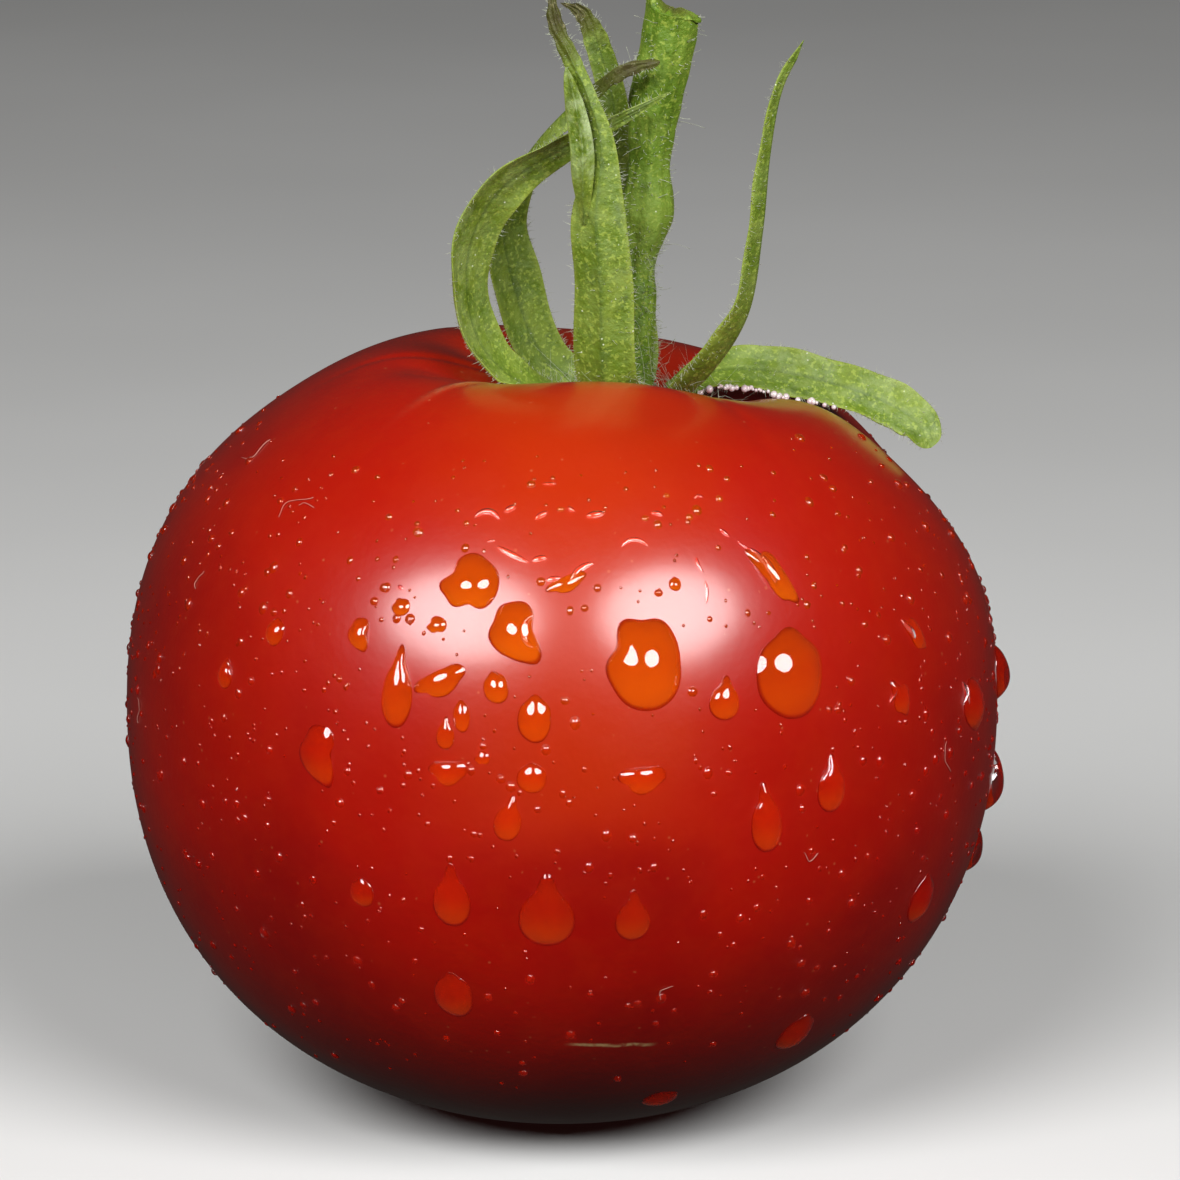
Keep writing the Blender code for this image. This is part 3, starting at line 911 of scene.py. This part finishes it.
def hair_tubes(roots, directions, lengths, radius, curl, seed, head=0.12):
    """Points and faces of many hairs: each is a cone of few sides along a curve that starts in its direction
    and bends off it by curl times the distance squared. Its last ring is head times as wide as its root."""
    random = np.random.default_rng(seed)
    count = len(roots)
    share = np.linspace(0.0, 1.0, HAIR_STATIONS)
    bend = unit(random.normal(size=(count, 3))) * curl
    sway = unit(random.normal(size=(count, 3))) * curl * 0.35
    path = roots[:, None]
    swing = 0.3 * np.sin(share * 2.6 * math.pi)
    for way, distance in (directions, share), (bend, share**2), (sway, swing):
        path = path + way[:, None] * (distance[:, None] * lengths[:, None, None])
    onward = unit(np.gradient(path, axis=1))
    first = unit(np.cross(onward, random.normal(size=(count, 1, 3))))
    taper = radius * (1.0 - 0.8 * share)
    taper[-1] = radius * head
    points = tube_rings(path, first, np.cross(onward, first), taper, even_turns(HAIR_SIDES))
    top = (HAIR_STATIONS - 1) * HAIR_SIDES
    caps = np.array([[2, 1, 0], [top, top + 1, top + 2]])
    sides = grid_quads(HAIR_STATIONS, HAIR_SIDES)
    return points.reshape(-1, 3), *many(count, HAIR_STATIONS * HAIR_SIDES, sides, caps)


def stalk_hairs(random):
    """Roots, directions and lengths of the stalk's hairs: short ones all over, denser below the knuckle."""
    length = settings("stalk").length
    count = settings("hairs").stalk_count
    share = random.random(count)
    height = length * np.where(random.random(count) < 0.4, 0.42 * share, 0.02 + 0.95 * share)
    turn = random.random(count) * FULL_TURN
    outward = np.stack([np.cos(turn), np.sin(turn), np.zeros(count)], -1)
    directions = unit(outward + 0.35 * random.normal(size=(count, 3)))
    lengths = 0.22 * MM + 0.42 * MM * random.random(count) ** 2 + 1.2 * MM * (random.random(count) > 0.976)
    return stalk_surface(height, turn) - 0.04 * MM * outward, directions, lengths


def blade_hairs(rings, count, random):
    """Roots, directions and lengths of one sepal's hairs, most of them along its edges and near its root."""
    stations, around = rings.shape[:2]
    station = (stations * np.clip(random.beta(1.0, 1.5, count), 0.01, 0.97)).astype(int)
    at_edge = random.random(count) < 0.6
    edge = np.where(random.random(count) < 0.5, 0, around // 2) + random.integers(-3, 4, count)
    column = np.where(at_edge, edge, random.integers(0, around, count)) % around
    roots = rings[station, column]
    outwards = roots - rings[station].mean(1)
    along = rings[np.minimum(station + 1, stations - 1), column] - rings[np.maximum(station - 1, 0), column]
    along = unit(along)
    beside = unit(rings[station, (column + 1) % around] - rings[station, column - 1])
    normal = unit(np.cross(beside, along))
    normal = normal * np.sign(np.sum(normal * outwards, -1, keepdims=True))
    spread = 0.3 * random.normal(size=(count, 3))
    directions = unit(normal + 0.3 * unit(outwards) + spread + 0.25 * along)
    lengths = np.where(at_edge, 0.2, 0.12) * MM + 0.3 * MM * random.random(count) ** 2
    return roots, directions, lengths


def cavity_hairs(random):
    """Roots, directions and lengths of the long pale hairs across the stem cavity round the stalk's foot."""
    count = settings("hairs").cavity_count
    turn = random.random(count) * FULL_TURN
    away = (2.4 + 3.6 * random.random(count)) * MM
    x, y = CAVITY[0] + away * np.cos(turn), CAVITY[1] + away * np.sin(turn)
    roots = np.stack([x, y, crown_height(x, y) + (0.1 + 1.6 * random.random(count) ** 2) * MM], -1)
    flat = np.stack([-np.sin(turn), np.cos(turn), 0.35 + 0.4 * random.random(count)], -1)
    flat = flat * np.sign(random.normal(size=(count, 1)))
    directions = unit(flat + 0.6 * random.normal(size=(count, 3)))
    directions[:, 2] = np.abs(directions[:, 2])
    return roots, directions, (0.8 + 2.4 * random.random(count) ** 1.5) * MM


def make_hairs(blades):
    """Hairs on the stalk, on the sepals and across the cavity."""
    hairs = settings("hairs")
    material = hair_material("plant_hair", hairs.pale)
    random = np.random.default_rng(11)
    stalk, sepals, cavity = Patchwork(), Patchwork(), Patchwork()
    stalk.add(*hair_tubes(*stalk_hairs(random), hairs.radius, 0.35, 21, head=0.8))
    for number, rings in enumerate(blades):
        grown = blade_hairs(rings, hairs.sepal_count, random)
        sepals.add(*hair_tubes(*grown, 0.8 * hairs.radius, 0.4, 31 + number))
    cavity.add(*hair_tubes(*cavity_hairs(random), 0.75 * hairs.radius, 0.9, 41))
    for name, work in (("stalk_hairs", stalk), ("sepal_hairs", sepals), ("cavity_hairs", cavity)):
        hand_over(work.build(name, material), "plant_hair")


# Lint: degrees right of the front and height where it starts, its direction in degrees, and its length.
LINT = (
    (-68, 45.6, 235, 2.3), (-45, 43.8, 238, 2.5), (-42.5, 43.2, 200, 1.2), (-60, 37, 95, 1.2),
    (61, 25, 100, 2.2), (-72, 27, 110, 1.6), (14, 13.5, 60, 1.2), (35, 22, 170, 1.1), (150, 30, 60, 3.2),
    (-140, 35, 130, 2.6), (100, 18, 20, 2.8),
)


def make_lint():
    """Fibres that lie curled on the skin: each follows its direction and wanders off to both sides."""
    work = Patchwork()
    random = np.random.default_rng(5)
    along = np.linspace(0.0, 1.0, 26)
    for right_of_front, height, direction, length in LINT:
        wander = 0.25 * np.sin(along * (3 + 3 * random.random()) + random.random() * 6) * length * MM
        a, b = rotated(along * length * MM, wander, direction)
        line, normal = skin_offset(*skin_spot(right_of_front, height * MM), a, b)
        line = line + normal * (0.03 * MM + 0.05 * MM * np.abs(np.sin(along * 7)))[:, None]
        side = unit(np.cross(unit(np.gradient(line, axis=0)), normal))
        radius = 0.016 * MM * (1.0 - 0.5 * along**4)
        work.add(*closed_tube(tube_rings(line, side, normal, radius, even_turns(5))))
    hand_over(work.build("lint", hair_material("lint_fibre", (0.62, 0.34, 0.28, 1))), "lint")


# ---------------------------------------------------------------- water

# Outlines of drops: how far the rim is out, as a share, every 30 degrees from the right and on over the top.
OUTLINES = {
    "round": (1, 1, 1, 1, 1, 1, 1, 1, 1, 1, 1, 1),
    "oval": (0.95, 1, 0.94, 1.05, 0.92, 0.97, 1, 1.04, 1, 1.02, 1.04, 1),
    "tear": (0.86, 0.72, 0.72, 1.12, 0.7, 0.74, 0.88, 1.02, 1.02, 1, 1.02, 1),
    "slab": (0.96, 1.02, 1.1, 0.98, 1.12, 0.84, 1.04, 1, 1.02, 1.02, 1.05, 1.03),
    "kidney": (0.97, 1, 1, 1.12, 1, 0.66, 1.05, 0.92, 0.92, 0.68, 0.95, 0.97),
    "crescent": (0.5, 0.82, 0.98, 0.95, 1, 0.92, 1.1, 1, 0.92, 1.02, 1.25, 0.8),
    "comma": (0.75, 1, 0.85, 0.7, 1.25, 0.8, 0.55, 0.7, 0.85, 0.9, 1.25, 0.95),
    "wing": (1.15, 1.1, 0.7, 0.5, 0.6, 0.95, 1.1, 0.75, 0.85, 0.95, 0.9, 0.9),
}
# The larger drops of the front: degrees right of the front and height of the middle, width and length
# in millimetres, lean in degrees, outline, and fullness, which is 1 where the water bulges most.
DROPS = (
    (11.2, 35.1, 4.7, 5.6, 0, "slab", 0.95), (31.5, 33.7, 4.9, 5.5, -8, "oval", 0.7),
    (-12.5, 39.6, 3.7, 3.7, 0, "kidney", 0.9), (-5.5, 37.1, 3.3, 3.9, 12, "crescent", 0.9),
    (31.8, 39.4, 2, 4.2, 22, "comma", 0.8), (-21, 33.4, 2.2, 4.9, 0, "tear", 0.8),
    (-15.5, 34, 3.1, 2.1, 25, "wing", 0.8), (-8, 33.8, 1.6, 2, 15, "oval", 0.9),
    (-22, 38.1, 1.2, 1.1, 0, "slab", 0.8), (-16.5, 37.2, 1.3, 1.1, 10, "kidney", 0.8),
    (-27.3, 36.4, 1.6, 2.1, 5, "crescent", 0.9), (-40.8, 35.8, 1.5, 1.8, 0, "oval", 0.9),
    (-48.5, 32.6, 1.4, 1.9, 0, "tear", 0.9), (21.6, 32.7, 2.2, 2.6, -10, "tear", 0.9),
    (49.8, 30.9, 2, 2.2, 0, "comma", 0.8), (68.7, 28.7, 2.9, 3.5, 0, "crescent", 0.8),
    (55, 34.5, 1.6, 2.6, 25, "comma", 0.8), (36.9, 26.5, 2.4, 3.5, 0, "tear", 0.75),
    (27, 25, 2.4, 4.3, 6, "tear", 0.75), (-1.5, 19.8, 3.8, 4.7, 0, "tear", 0.7),
    (9.5, 19.4, 2.4, 3.3, 0, "tear", 0.7), (-13.7, 20.6, 2.6, 4, 0, "tear", 0.6),
    (-3, 32, 2.1, 2.9, 0, "oval", 0.7), (10.3, 28.3, 2.7, 2.2, 0, "wing", 0.8),
    (-3.3, 28.4, 1.9, 1.9, 0, "oval", 0.85), (-14, 28.6, 2.2, 2, 0, "wing", 0.85),
    (-6.2, 25.8, 1.9, 2.9, -12, "tear", 0.75), (-31.5, 28.9, 2.8, 3.7, 0, "crescent", 0.5),
    (-12.3, 32, 1.1, 2, 5, "oval", 0.85), (-26, 20.3, 1.7, 1.9, 0, "oval", 0.8),
    (-14.8, 13.7, 2.5, 3.5, 0, "oval", 0.5), (41.8, 9, 2.6, 3.4, 0, "oval", 0.7),
    (21, 4.6, 2.4, 2.2, 20, "oval", 0.6), (58.7, 16.9, 2.6, 3.4, 0, "oval", 0.7),
    (1, 39.8, 2.4, 1.3, 24, "wing", 0.6), (16.5, 39.5, 0.8, 0.9, 0, "oval", 0.8),
    (0.3, 43.7, 0.5, 0.35, 0, "oval", 0.9), (18.2, 44.2, 0.45, 0.35, 0, "oval", 0.9),
    (27.2, 43.8, 0.5, 0.5, 0, "oval", 0.9), (21, 43, 0.5, 0.45, 0, "oval", 0.9),
    (13.7, 43.1, 0.5, 0.4, 0, "oval", 0.9), (-14.3, 30.9, 1.3, 2, 0, "tear", 0.7),
    (-9.5, 29.5, 1, 0.9, 0, "kidney", 0.8), (87, 28.7, 2.3, 3.6, 0, "oval", 1),
    (88, 21.1, 2.5, 3.8, 0, "tear", 1), (89, 16.4, 2.2, 3, 0, "oval", 1),
)
# Thin curled strokes of water: degrees right of the front and height of the middle, then in millimetres and
# degrees the length, the direction, how far it bends on its way, and the width.
STROKES = (
    (-11.4, 43.4, 1.95, 0, -140, 0.42), (-7.9, 43.7, 0.8, 38, 0, 0.42), (-2.8, 43.4, 0.95, 38, -20, 0.36),
    (2, 43.7, 0.55, -40, 0, 0.3), (5.8, 43.4, 1.15, 12, -15, 0.5), (-6.8, 41.3, 2.3, -27, 12, 0.42),
    (-2.8, 41.1, 0.95, 14, 0, 0.46), (-0.7, 40, 0.95, 8, -20, 0.42), (3, 40.4, 2.2, 44, -62, 0.46),
    (11.4, 41.9, 2, 0, -120, 0.3), (23.7, 44, 0.7, 0, -100, 0.22), (15.8, 43.3, 0.75, -15, -40, 0.34),
    (-1.7, 45, 0.8, 0, 30, 0.22), (26, 42, 0.8, -52, 0, 0.26), (28.4, 41.2, 0.9, -50, 0, 0.16),
    (-4.3, 37.1, 2.5, -92, 125, 0.4), (30.9, 40.1, 2.9, -62, -45, 0.5), (20.6, 40.4, 1.1, -80, 50, 0.24),
    (20.9, 38.9, 1.5, -98, -30, 0.24), (-10.2, 42, 0.5, 10, 0, 0.2), (-22.6, 39.2, 0.5, -30, 0, 0.25),
    (54, 34.9, 1.7, -50, -20, 0.4), (48.5, 31.1, 1.1, 40, 40, 0.3), (66.5, 29.6, 1.7, -70, -15, 0.4),
)
DROP_RINGS = 16
DROP_AROUND = 56
LARGE_DROP = 1.95  # the width in millimetres from which a drop takes all of them; smaller ones have half
BEAD_RINGS = 3
BEAD_AROUND = 9
BEAD_CUT = 0.92  # where a bead is cut off its sphere, as a share of the sphere's radius
BEAD_PATCH = 0.9  # how far out its patch of wet skin reaches
BEAD_HEIGHT = 0.95
WATER_LIFT = 0.02 * MM  # what the water's underside clears the skin by


def outline_at(name, turn):
    """How far a drop reaches out at each turn, as a share, smooth through the outline's twelve directions."""
    knots = OUTLINES[name]
    knots = knots[-1:] + knots + knots[:2]
    return through(knots, ((np.degrees(turn) % 360.0) / 30.0 + 1.0) / (len(knots) - 1))


def add_drop(work, spot, width, length, lean, outline, fullness, detail):
    """Adds a closed drop at a spot of the skin. Its top is a cap of a sphere drawn to the outline, fuller low
    down where the water sags, and its underside lies just over the skin, with painted caustic light and
    painted edge shade as values."""
    rings, around = int(DROP_RINGS * detail), int(DROP_AROUND * detail)
    turn = even_turns(around)
    share = np.sin(np.linspace(0.0, math.pi / 2, rings + 1))[1:]
    out = share[:, None] * (1.0 + np.outer(share**2.5, outline_at(outline, turn) - 1.0))
    a, b = rotated(width / 2 * np.cos(turn) * out, length / 2 * np.sin(turn) * out, lean)
    skin, normal = skin_offset(*spot, a, b)
    middle, middle_normal = skin_offset(*spot, np.zeros(1), np.zeros(1))
    angle = settings("water").contact_angle * min(1.0, fullness)
    sphere = math.sqrt(width * length) / 2 / math.sin(angle)
    bulge = sphere * (np.sqrt(1.0 - (share * math.sin(angle)) ** 2) - math.cos(angle))
    down = -np.sin(turn + math.radians(lean))
    sag = 0.22 * fullness * np.outer(share * (1 - share**2), down)
    top = skin + normal * (bulge[:, None] * (1.0 + sag) + WATER_LIFT)[..., None]
    top[-1] = skin[-1] - normal[-1] * 0.05 * MM
    under = skin[:-1] + normal[:-1] * WATER_LIFT
    points, bands, caps = closed_tube(np.concatenate([under, top[::-1]]))
    points[-2:] = middle + middle_normal * WATER_LIFT
    points[-1:] += middle_normal * sphere * (1.0 - math.cos(angle))
    low_down = np.outer(share, down)
    # Painted light: a caustic crescent low inside the drop, where the water would focus the lamps.
    glow = 0.55 * smoothstep(-0.1, 0.8, low_down) * (1 - smoothstep(0.86, 0.96, share))[:, None]
    # Painted shade: dark at the drop's edge, most at the lower left, and over the drop's upper part.
    rim = smoothstep(0.87, 0.97, share)[:, None] * (0.7 + 0.3 * np.cos(turn - 3.9))
    rim = 0.85 * np.clip(rim + 0.25 * smoothstep(0.4, 0.9, -low_down), 0.0, 1.0)
    wet = (rings - 1) * around
    work.add(
        points, bands[:wet], caps[:around], bands[wet:], caps[around:], slots=(1, 1, 0, 0),
        glow=with_ends(np.concatenate([glow[:-1], glow[::-1]]), 0.055, 0.0),
        rim=with_ends(np.concatenate([rim[:-1], rim[::-1]]), 0.0, 0.0),
    )


def add_beads(work, heading, lift, size, stretch):
    """Adds many small closed drops at once: each is a sphere's cap of few faces over a patch of wet skin."""
    turn = even_turns(BEAD_AROUND)
    share = np.sin(np.linspace(0.0, math.pi / 2, BEAD_RINGS + 1))[1:]
    here, normal, right, up = skin_frame(heading, lift)
    foot_drop = math.sqrt(1.0 - BEAD_CUT**2)
    rise = np.append(np.sqrt(1.0 - (share * BEAD_CUT) ** 2) - foot_drop, 0.0) * BEAD_HEIGHT
    out = np.append(share, BEAD_PATCH)
    half = (size / 2)[:, None, None, None]
    upwards = (np.sin(turn)[:, None] * up[:, None]) * stretch[:, None, None]
    ring = np.cos(turn)[:, None] * right[:, None] + upwards
    points = here[:, None, None] + ring[:, None] * out[:, None, None] * half
    points = points + normal[:, None, None] * (rise[:, None, None] * half)
    points[:, -2] -= normal[:, None] * 0.02 * MM
    points[:, -1] += normal[:, None] * 0.012 * MM
    peak = here + normal * (size / 2 * BEAD_HEIGHT * (1.0 - foot_drop))[:, None]
    each = (BEAD_RINGS + 1) * BEAD_AROUND + 1
    all_points = np.concatenate([points.reshape(len(size), -1, 3), peak[:, None]], 1)
    quads = grid_quads(BEAD_RINGS + 1, BEAD_AROUND)[:, ::-1]
    dome, under = np.split(quads, [(BEAD_RINGS - 1) * BEAD_AROUND])
    around = np.arange(BEAD_AROUND)
    fan = np.stack([np.full(BEAD_AROUND, each - 1), around, (around + 1) % BEAD_AROUND], -1)
    patch = BEAD_RINGS * BEAD_AROUND + around[None, ::-1]
    patches = many(len(size), each, dome, fan, under, patch)
    # Painted shade: each bead's wet skin is darkened a little all over; beads get no painted caustic.
    work.add(all_points.reshape(-1, 3), *patches, slots=(0, 0, 1, 1), glow=0.0, rim=0.3)


def add_stroke(work, spot, length, direction, bend, width):
    """Adds a closed stroke of water: an arc along the skin, half sunk in it, as wide as the root of sine."""
    along = np.linspace(0.0, 1.0, 28)
    way = np.radians(direction + bend * (along - 0.5))
    a = np.cumsum(np.cos(way)) * length * MM / len(along)
    b = np.cumsum(np.sin(way)) * length * MM / len(along)
    line, normal = skin_offset(*spot, a - a.mean(), b - b.mean())
    side = unit(np.cross(unit(np.gradient(line, axis=0)), normal))
    half = width / 2 * MM * np.sqrt(np.sin(math.pi * (0.02 + 0.96 * along)))
    rings = tube_rings(line, side, 0.75 * normal, half, even_turns(14))
    work.add(*closed_tube(rings), glow=0.0, rim=0.0)


def far_from(points, taken, room):
    """True where a point is further than the room that each taken point needs."""
    gap = np.linalg.norm(points[:, None] - np.array(taken)[None], axis=-1)
    return (gap > np.array(room)[None]).all(1)


def make_water():
    """The front's own drops, loose drops on the sides and back, and beads all round."""
    water = settings("water")
    random = np.random.default_rng(7)
    front, loose, beads = Patchwork(), Patchwork(), Patchwork()
    taken, room = [], []
    for right_of_front, height, width, length, lean, outline, fullness in DROPS:
        spot = skin_spot(right_of_front, height * MM)
        detail = 1.0 if width > LARGE_DROP else 0.5
        add_drop(front, spot, width * MM, length * MM, lean, outline, fullness, detail)
        taken.append(skin_at(*spot))
        room.append(0.56 * max(width, length) * MM)
    for right_of_front, height, *shape in STROKES:
        spot = skin_spot(right_of_front, height * MM)
        add_stroke(front, spot, *shape)
        taken.append(skin_at(*spot))
        room.append(0.5 * shape[0] * MM)

    outlines = ("oval", "tear", "round", "crescent", "kidney", "tear")
    placed = 0
    while placed < water.loose_count:
        right_of_front, height = random.uniform(97.0, 255.0), random.uniform(5.0, 43.0)
        width = random.uniform(1.0, 3.6) * random.uniform(0.6, 1.0)
        spot = skin_spot(right_of_front, height * MM)
        place = skin_at(*spot)
        if not far_from(place[None], taken, np.array(room) + width * 0.7 * MM)[0]:
            continue
        outline = outlines[random.integers(len(outlines))]
        length = width * random.uniform(1.0, 1.45)
        lean, fullness = random.uniform(-12.0, 12.0), random.uniform(0.65, 0.95)
        add_drop(loose, spot, width * MM, length * MM, lean, outline, fullness, 0.5)
        taken.append(place)
        room.append(0.56 * length * MM)
        placed += 1

    count = 3 * water.bead_count
    height = FRUIT_LOW.z + (4.0 + 42.5 * random.beta(2.1, 1.5, count)) * MM
    heading, lift = skin_spot(random.uniform(0.0, 360.0, count), height)
    size = (0.2 + 0.55 * random.random(count) ** 3.0) * MM
    free = np.flatnonzero(far_from(skin_at(heading, lift), taken, room))[: water.bead_count]
    add_beads(beads, heading[free], lift[free], size[free], random.uniform(0.85, 1.3, len(free)))
    materials = water_material(), wet_skin_material()
    for name, work in (("water_drops", front), ("water_loose", loose), ("water_beads", beads)):
        hand_over(work.build(name, *materials), "water")


def make_dew():
    """A row of dew under the near edge of the right sepal: small balls, a little sunk into it, milky and pale
    pink in a colour that is partly painted highlight.
    """
    random = np.random.default_rng(17)
    count = 40
    edge = blade_rings("sepal_back_right")[0][:, SEPAL_AROUND // 2]
    station = np.sort(random.uniform(0.09, 0.52, count)) * SEPAL_STATIONS
    size = (0.2 + 0.38 * random.random(count) ** 1.5) * MM
    hang = np.array([0.0, 0.12 * MM, 0.14 * MM]) * random.random((count, 1))
    turns, lifts = np.meshgrid(even_turns(12), np.linspace(-1.4, 1.4, 7))
    ball = np.stack([np.cos(turns) * np.cos(lifts), np.sin(turns) * np.cos(lifts), np.sin(lifts)], -1)
    work = Patchwork()
    for place, across in zip(edge[station.astype(int)] - hang, size):
        work.add(*closed_tube(place + ball * across / 2))
    # Partly painted highlight: the pale pink stands in for the lamps' light the beads reflect, as well as
    # their milky look.
    paint = Paint("milky_dew_and_highlight", Roughness=0.25, Coat_Weight=1.0, Coat_Roughness=0.05, Subsurface_Weight=0.2)
    cloudy = paint.between(paint.noise(2500.0, 2.0), 0.35, 0.65)
    tone = paint.mix(cloudy, (0.75, 0.55, 0.55, 1), (0.9, 0.8, 0.78, 1))
    hand_over(work.build("dew_row", paint.set(Base_Color=tone)), "water")


# ---------------------------------------------------------------- stage


FLOOR_DROP = 0.1 * MM  # what the floor lies below the fruit by
FLOOR_AROUND = 64
SOFTBOX_DISTANCE = 0.6
SOFTBOX_ELEVATION = 35.0


def face(thing, place, target):
    """Puts a lamp or camera at a place, looking at the target with its top up."""
    thing.location = Vector(place)
    thing.rotation_euler = (Vector(target) - Vector(place)).to_track_quat("-Z", "Y").to_euler()


def add_softbox(name, right_of_camera, target):
    """An oval soft light over the camera's side, which faces the target."""
    stage = settings("stage")
    light = bpy.data.lights.new(name, "AREA")
    light.shape = "ELLIPSE"
    light.size, light.size_y = stage.softbox_size, 0.8 * stage.softbox_size
    light.energy = stage.softbox_power
    lamp = bpy.data.objects.new(name, light)
    bpy.context.scene.collection.objects.link(lamp)
    turn, rise = math.radians(right_of_camera - 90.0), math.radians(SOFTBOX_ELEVATION)
    away = np.array([math.cos(turn) * math.cos(rise), math.sin(turn) * math.cos(rise), math.sin(rise)])
    face(lamp, target + away * SOFTBOX_DISTANCE, target)


def make_floor():
    """A pale matt disc under the fruit. Neither bounced light nor reflections see it."""
    radius = np.array([0.02, 0.1, 0.4, 1.5, 4.0])[:, None]
    turn = even_turns(FLOOR_AROUND)
    disc = np.stack([radius * np.cos(turn), radius * np.sin(turn), 0.0 * radius * turn - FLOOR_DROP], -1)
    points = np.concatenate([disc.reshape(-1, 3), [[0.0, 0.0, -FLOOR_DROP]]])
    around = np.arange(FLOOR_AROUND)
    centre = np.stack([np.full(FLOOR_AROUND, len(points) - 1), around, (around + 1) % FLOOR_AROUND], -1)
    work = Patchwork()
    work.add(points, grid_quads(len(radius), FLOOR_AROUND)[:, ::-1], centre)
    paint = Paint("floor_matt", Roughness=0.7, Specular_IOR_Level=0.2)
    cloudy = paint.between(paint.noise(9.0, 3.0), 0.3, 0.7)
    tone = paint.mix(cloudy, (0.76, 0.76, 0.75, 1), (0.8, 0.8, 0.79, 1))
    floor = work.build("floor", paint.set(Base_Color=tone))
    floor.visible_diffuse = False
    floor.visible_glossy = False


def make_stage():
    """A pale floor, two softboxes in front, a faint pale sky and the camera."""
    stage = settings("stage")
    scene = bpy.context.scene
    make_floor()
    target = np.array([1.9 * MM, 0.0, 33.6 * MM])
    add_softbox("softbox_left", -30.5, target)
    add_softbox("softbox_right", 34.5, target)

    world = bpy.data.worlds.new("pale_room")
    world.use_nodes = True
    sky = world.node_tree.nodes["Background"]
    sky.inputs["Color"].default_value = (1.0, 0.94, 0.86, 1)
    sky.inputs["Strength"].default_value = 0.026
    scene.world = world
    scene.view_settings.view_transform = "Standard"

    camera = bpy.data.cameras.new("camera")
    camera.sensor_width = 36.0
    camera.lens = camera.sensor_width * stage.camera_distance / stage.frame_width
    camera.clip_start, camera.clip_end = 0.01, 20.0
    eye = bpy.data.objects.new("camera", camera)
    scene.collection.objects.link(eye)
    back = np.array([0.0, -math.cos(stage.camera_elevation), math.sin(stage.camera_elevation)])
    face(eye, target + back * stage.camera_distance, target)
    scene.camera = eye


# ---------------------------------------------------------------- operators and panel


class TOMATO_OT_skin(bpy.types.Operator):
    """Makes the fruit's skin"""

    bl_idname = "tomato.skin"
    bl_label = "Skin"

    def execute(self, context):
        make_skin()
        return {"FINISHED"}


class TOMATO_OT_stalk(bpy.types.Operator):
    """Makes the stalk"""

    bl_idname = "tomato.stalk"
    bl_label = "Stalk"

    def execute(self, context):
        make_stalk()
        return {"FINISHED"}


class TOMATO_OT_sepals(bpy.types.Operator):
    """Makes the six sepals and the plant hairs that grow on them, on the stalk and in the cavity"""

    bl_idname = "tomato.sepals"
    bl_label = "Sepals and hairs"

    def execute(self, context):
        make_hairs(make_sepals())
        return {"FINISHED"}


class TOMATO_OT_lint(bpy.types.Operator):
    """Lays lint on the skin"""

    bl_idname = "tomato.lint"
    bl_label = "Lint"

    def execute(self, context):
        make_lint()
        return {"FINISHED"}


class TOMATO_OT_water(bpy.types.Operator):
    """Makes the water drops and beads"""

    bl_idname = "tomato.water"
    bl_label = "Water"

    def execute(self, context):
        make_water()
        make_dew()
        return {"FINISHED"}


class TOMATO_OT_stage(bpy.types.Operator):
    """Makes the floor, the lights and the camera"""

    bl_idname = "tomato.stage"
    bl_label = "Stage"

    def execute(self, context):
        make_stage()
        return {"FINISHED"}


OPERATORS = (
    TOMATO_OT_skin, TOMATO_OT_stalk, TOMATO_OT_sepals, TOMATO_OT_lint, TOMATO_OT_water, TOMATO_OT_stage,
)


class TOMATO_PT_pieces(bpy.types.Panel):
    """Lists the tomato's pieces"""

    bl_label = "Ripe tomato"
    bl_space_type = "VIEW_3D"
    bl_region_type = "UI"
    bl_category = "Tomato"

    def draw(self, context):
        for operator in OPERATORS:
            self.layout.operator(operator.bl_idname)


def register():
    for group in SETTINGS.values():
        bpy.utils.register_class(group)
    for name, group in SETTINGS.items():
        setattr(bpy.types.Scene, name, PointerProperty(type=group))
    for operator in OPERATORS:
        bpy.utils.register_class(operator)
    bpy.utils.register_class(TOMATO_PT_pieces)


def unregister():
    bpy.utils.unregister_class(TOMATO_PT_pieces)
    for operator in reversed(OPERATORS):
        bpy.utils.unregister_class(operator)
    for name, group in SETTINGS.items():
        delattr(bpy.types.Scene, name)
        bpy.utils.unregister_class(group)


def main():
    register()
    bpy.ops.tomato.skin()
    bpy.ops.tomato.stalk()
    bpy.ops.tomato.sepals()
    bpy.ops.tomato.lint()
    bpy.ops.tomato.water()
    bpy.ops.tomato.stage()


if __name__ == "__main__":
    main()
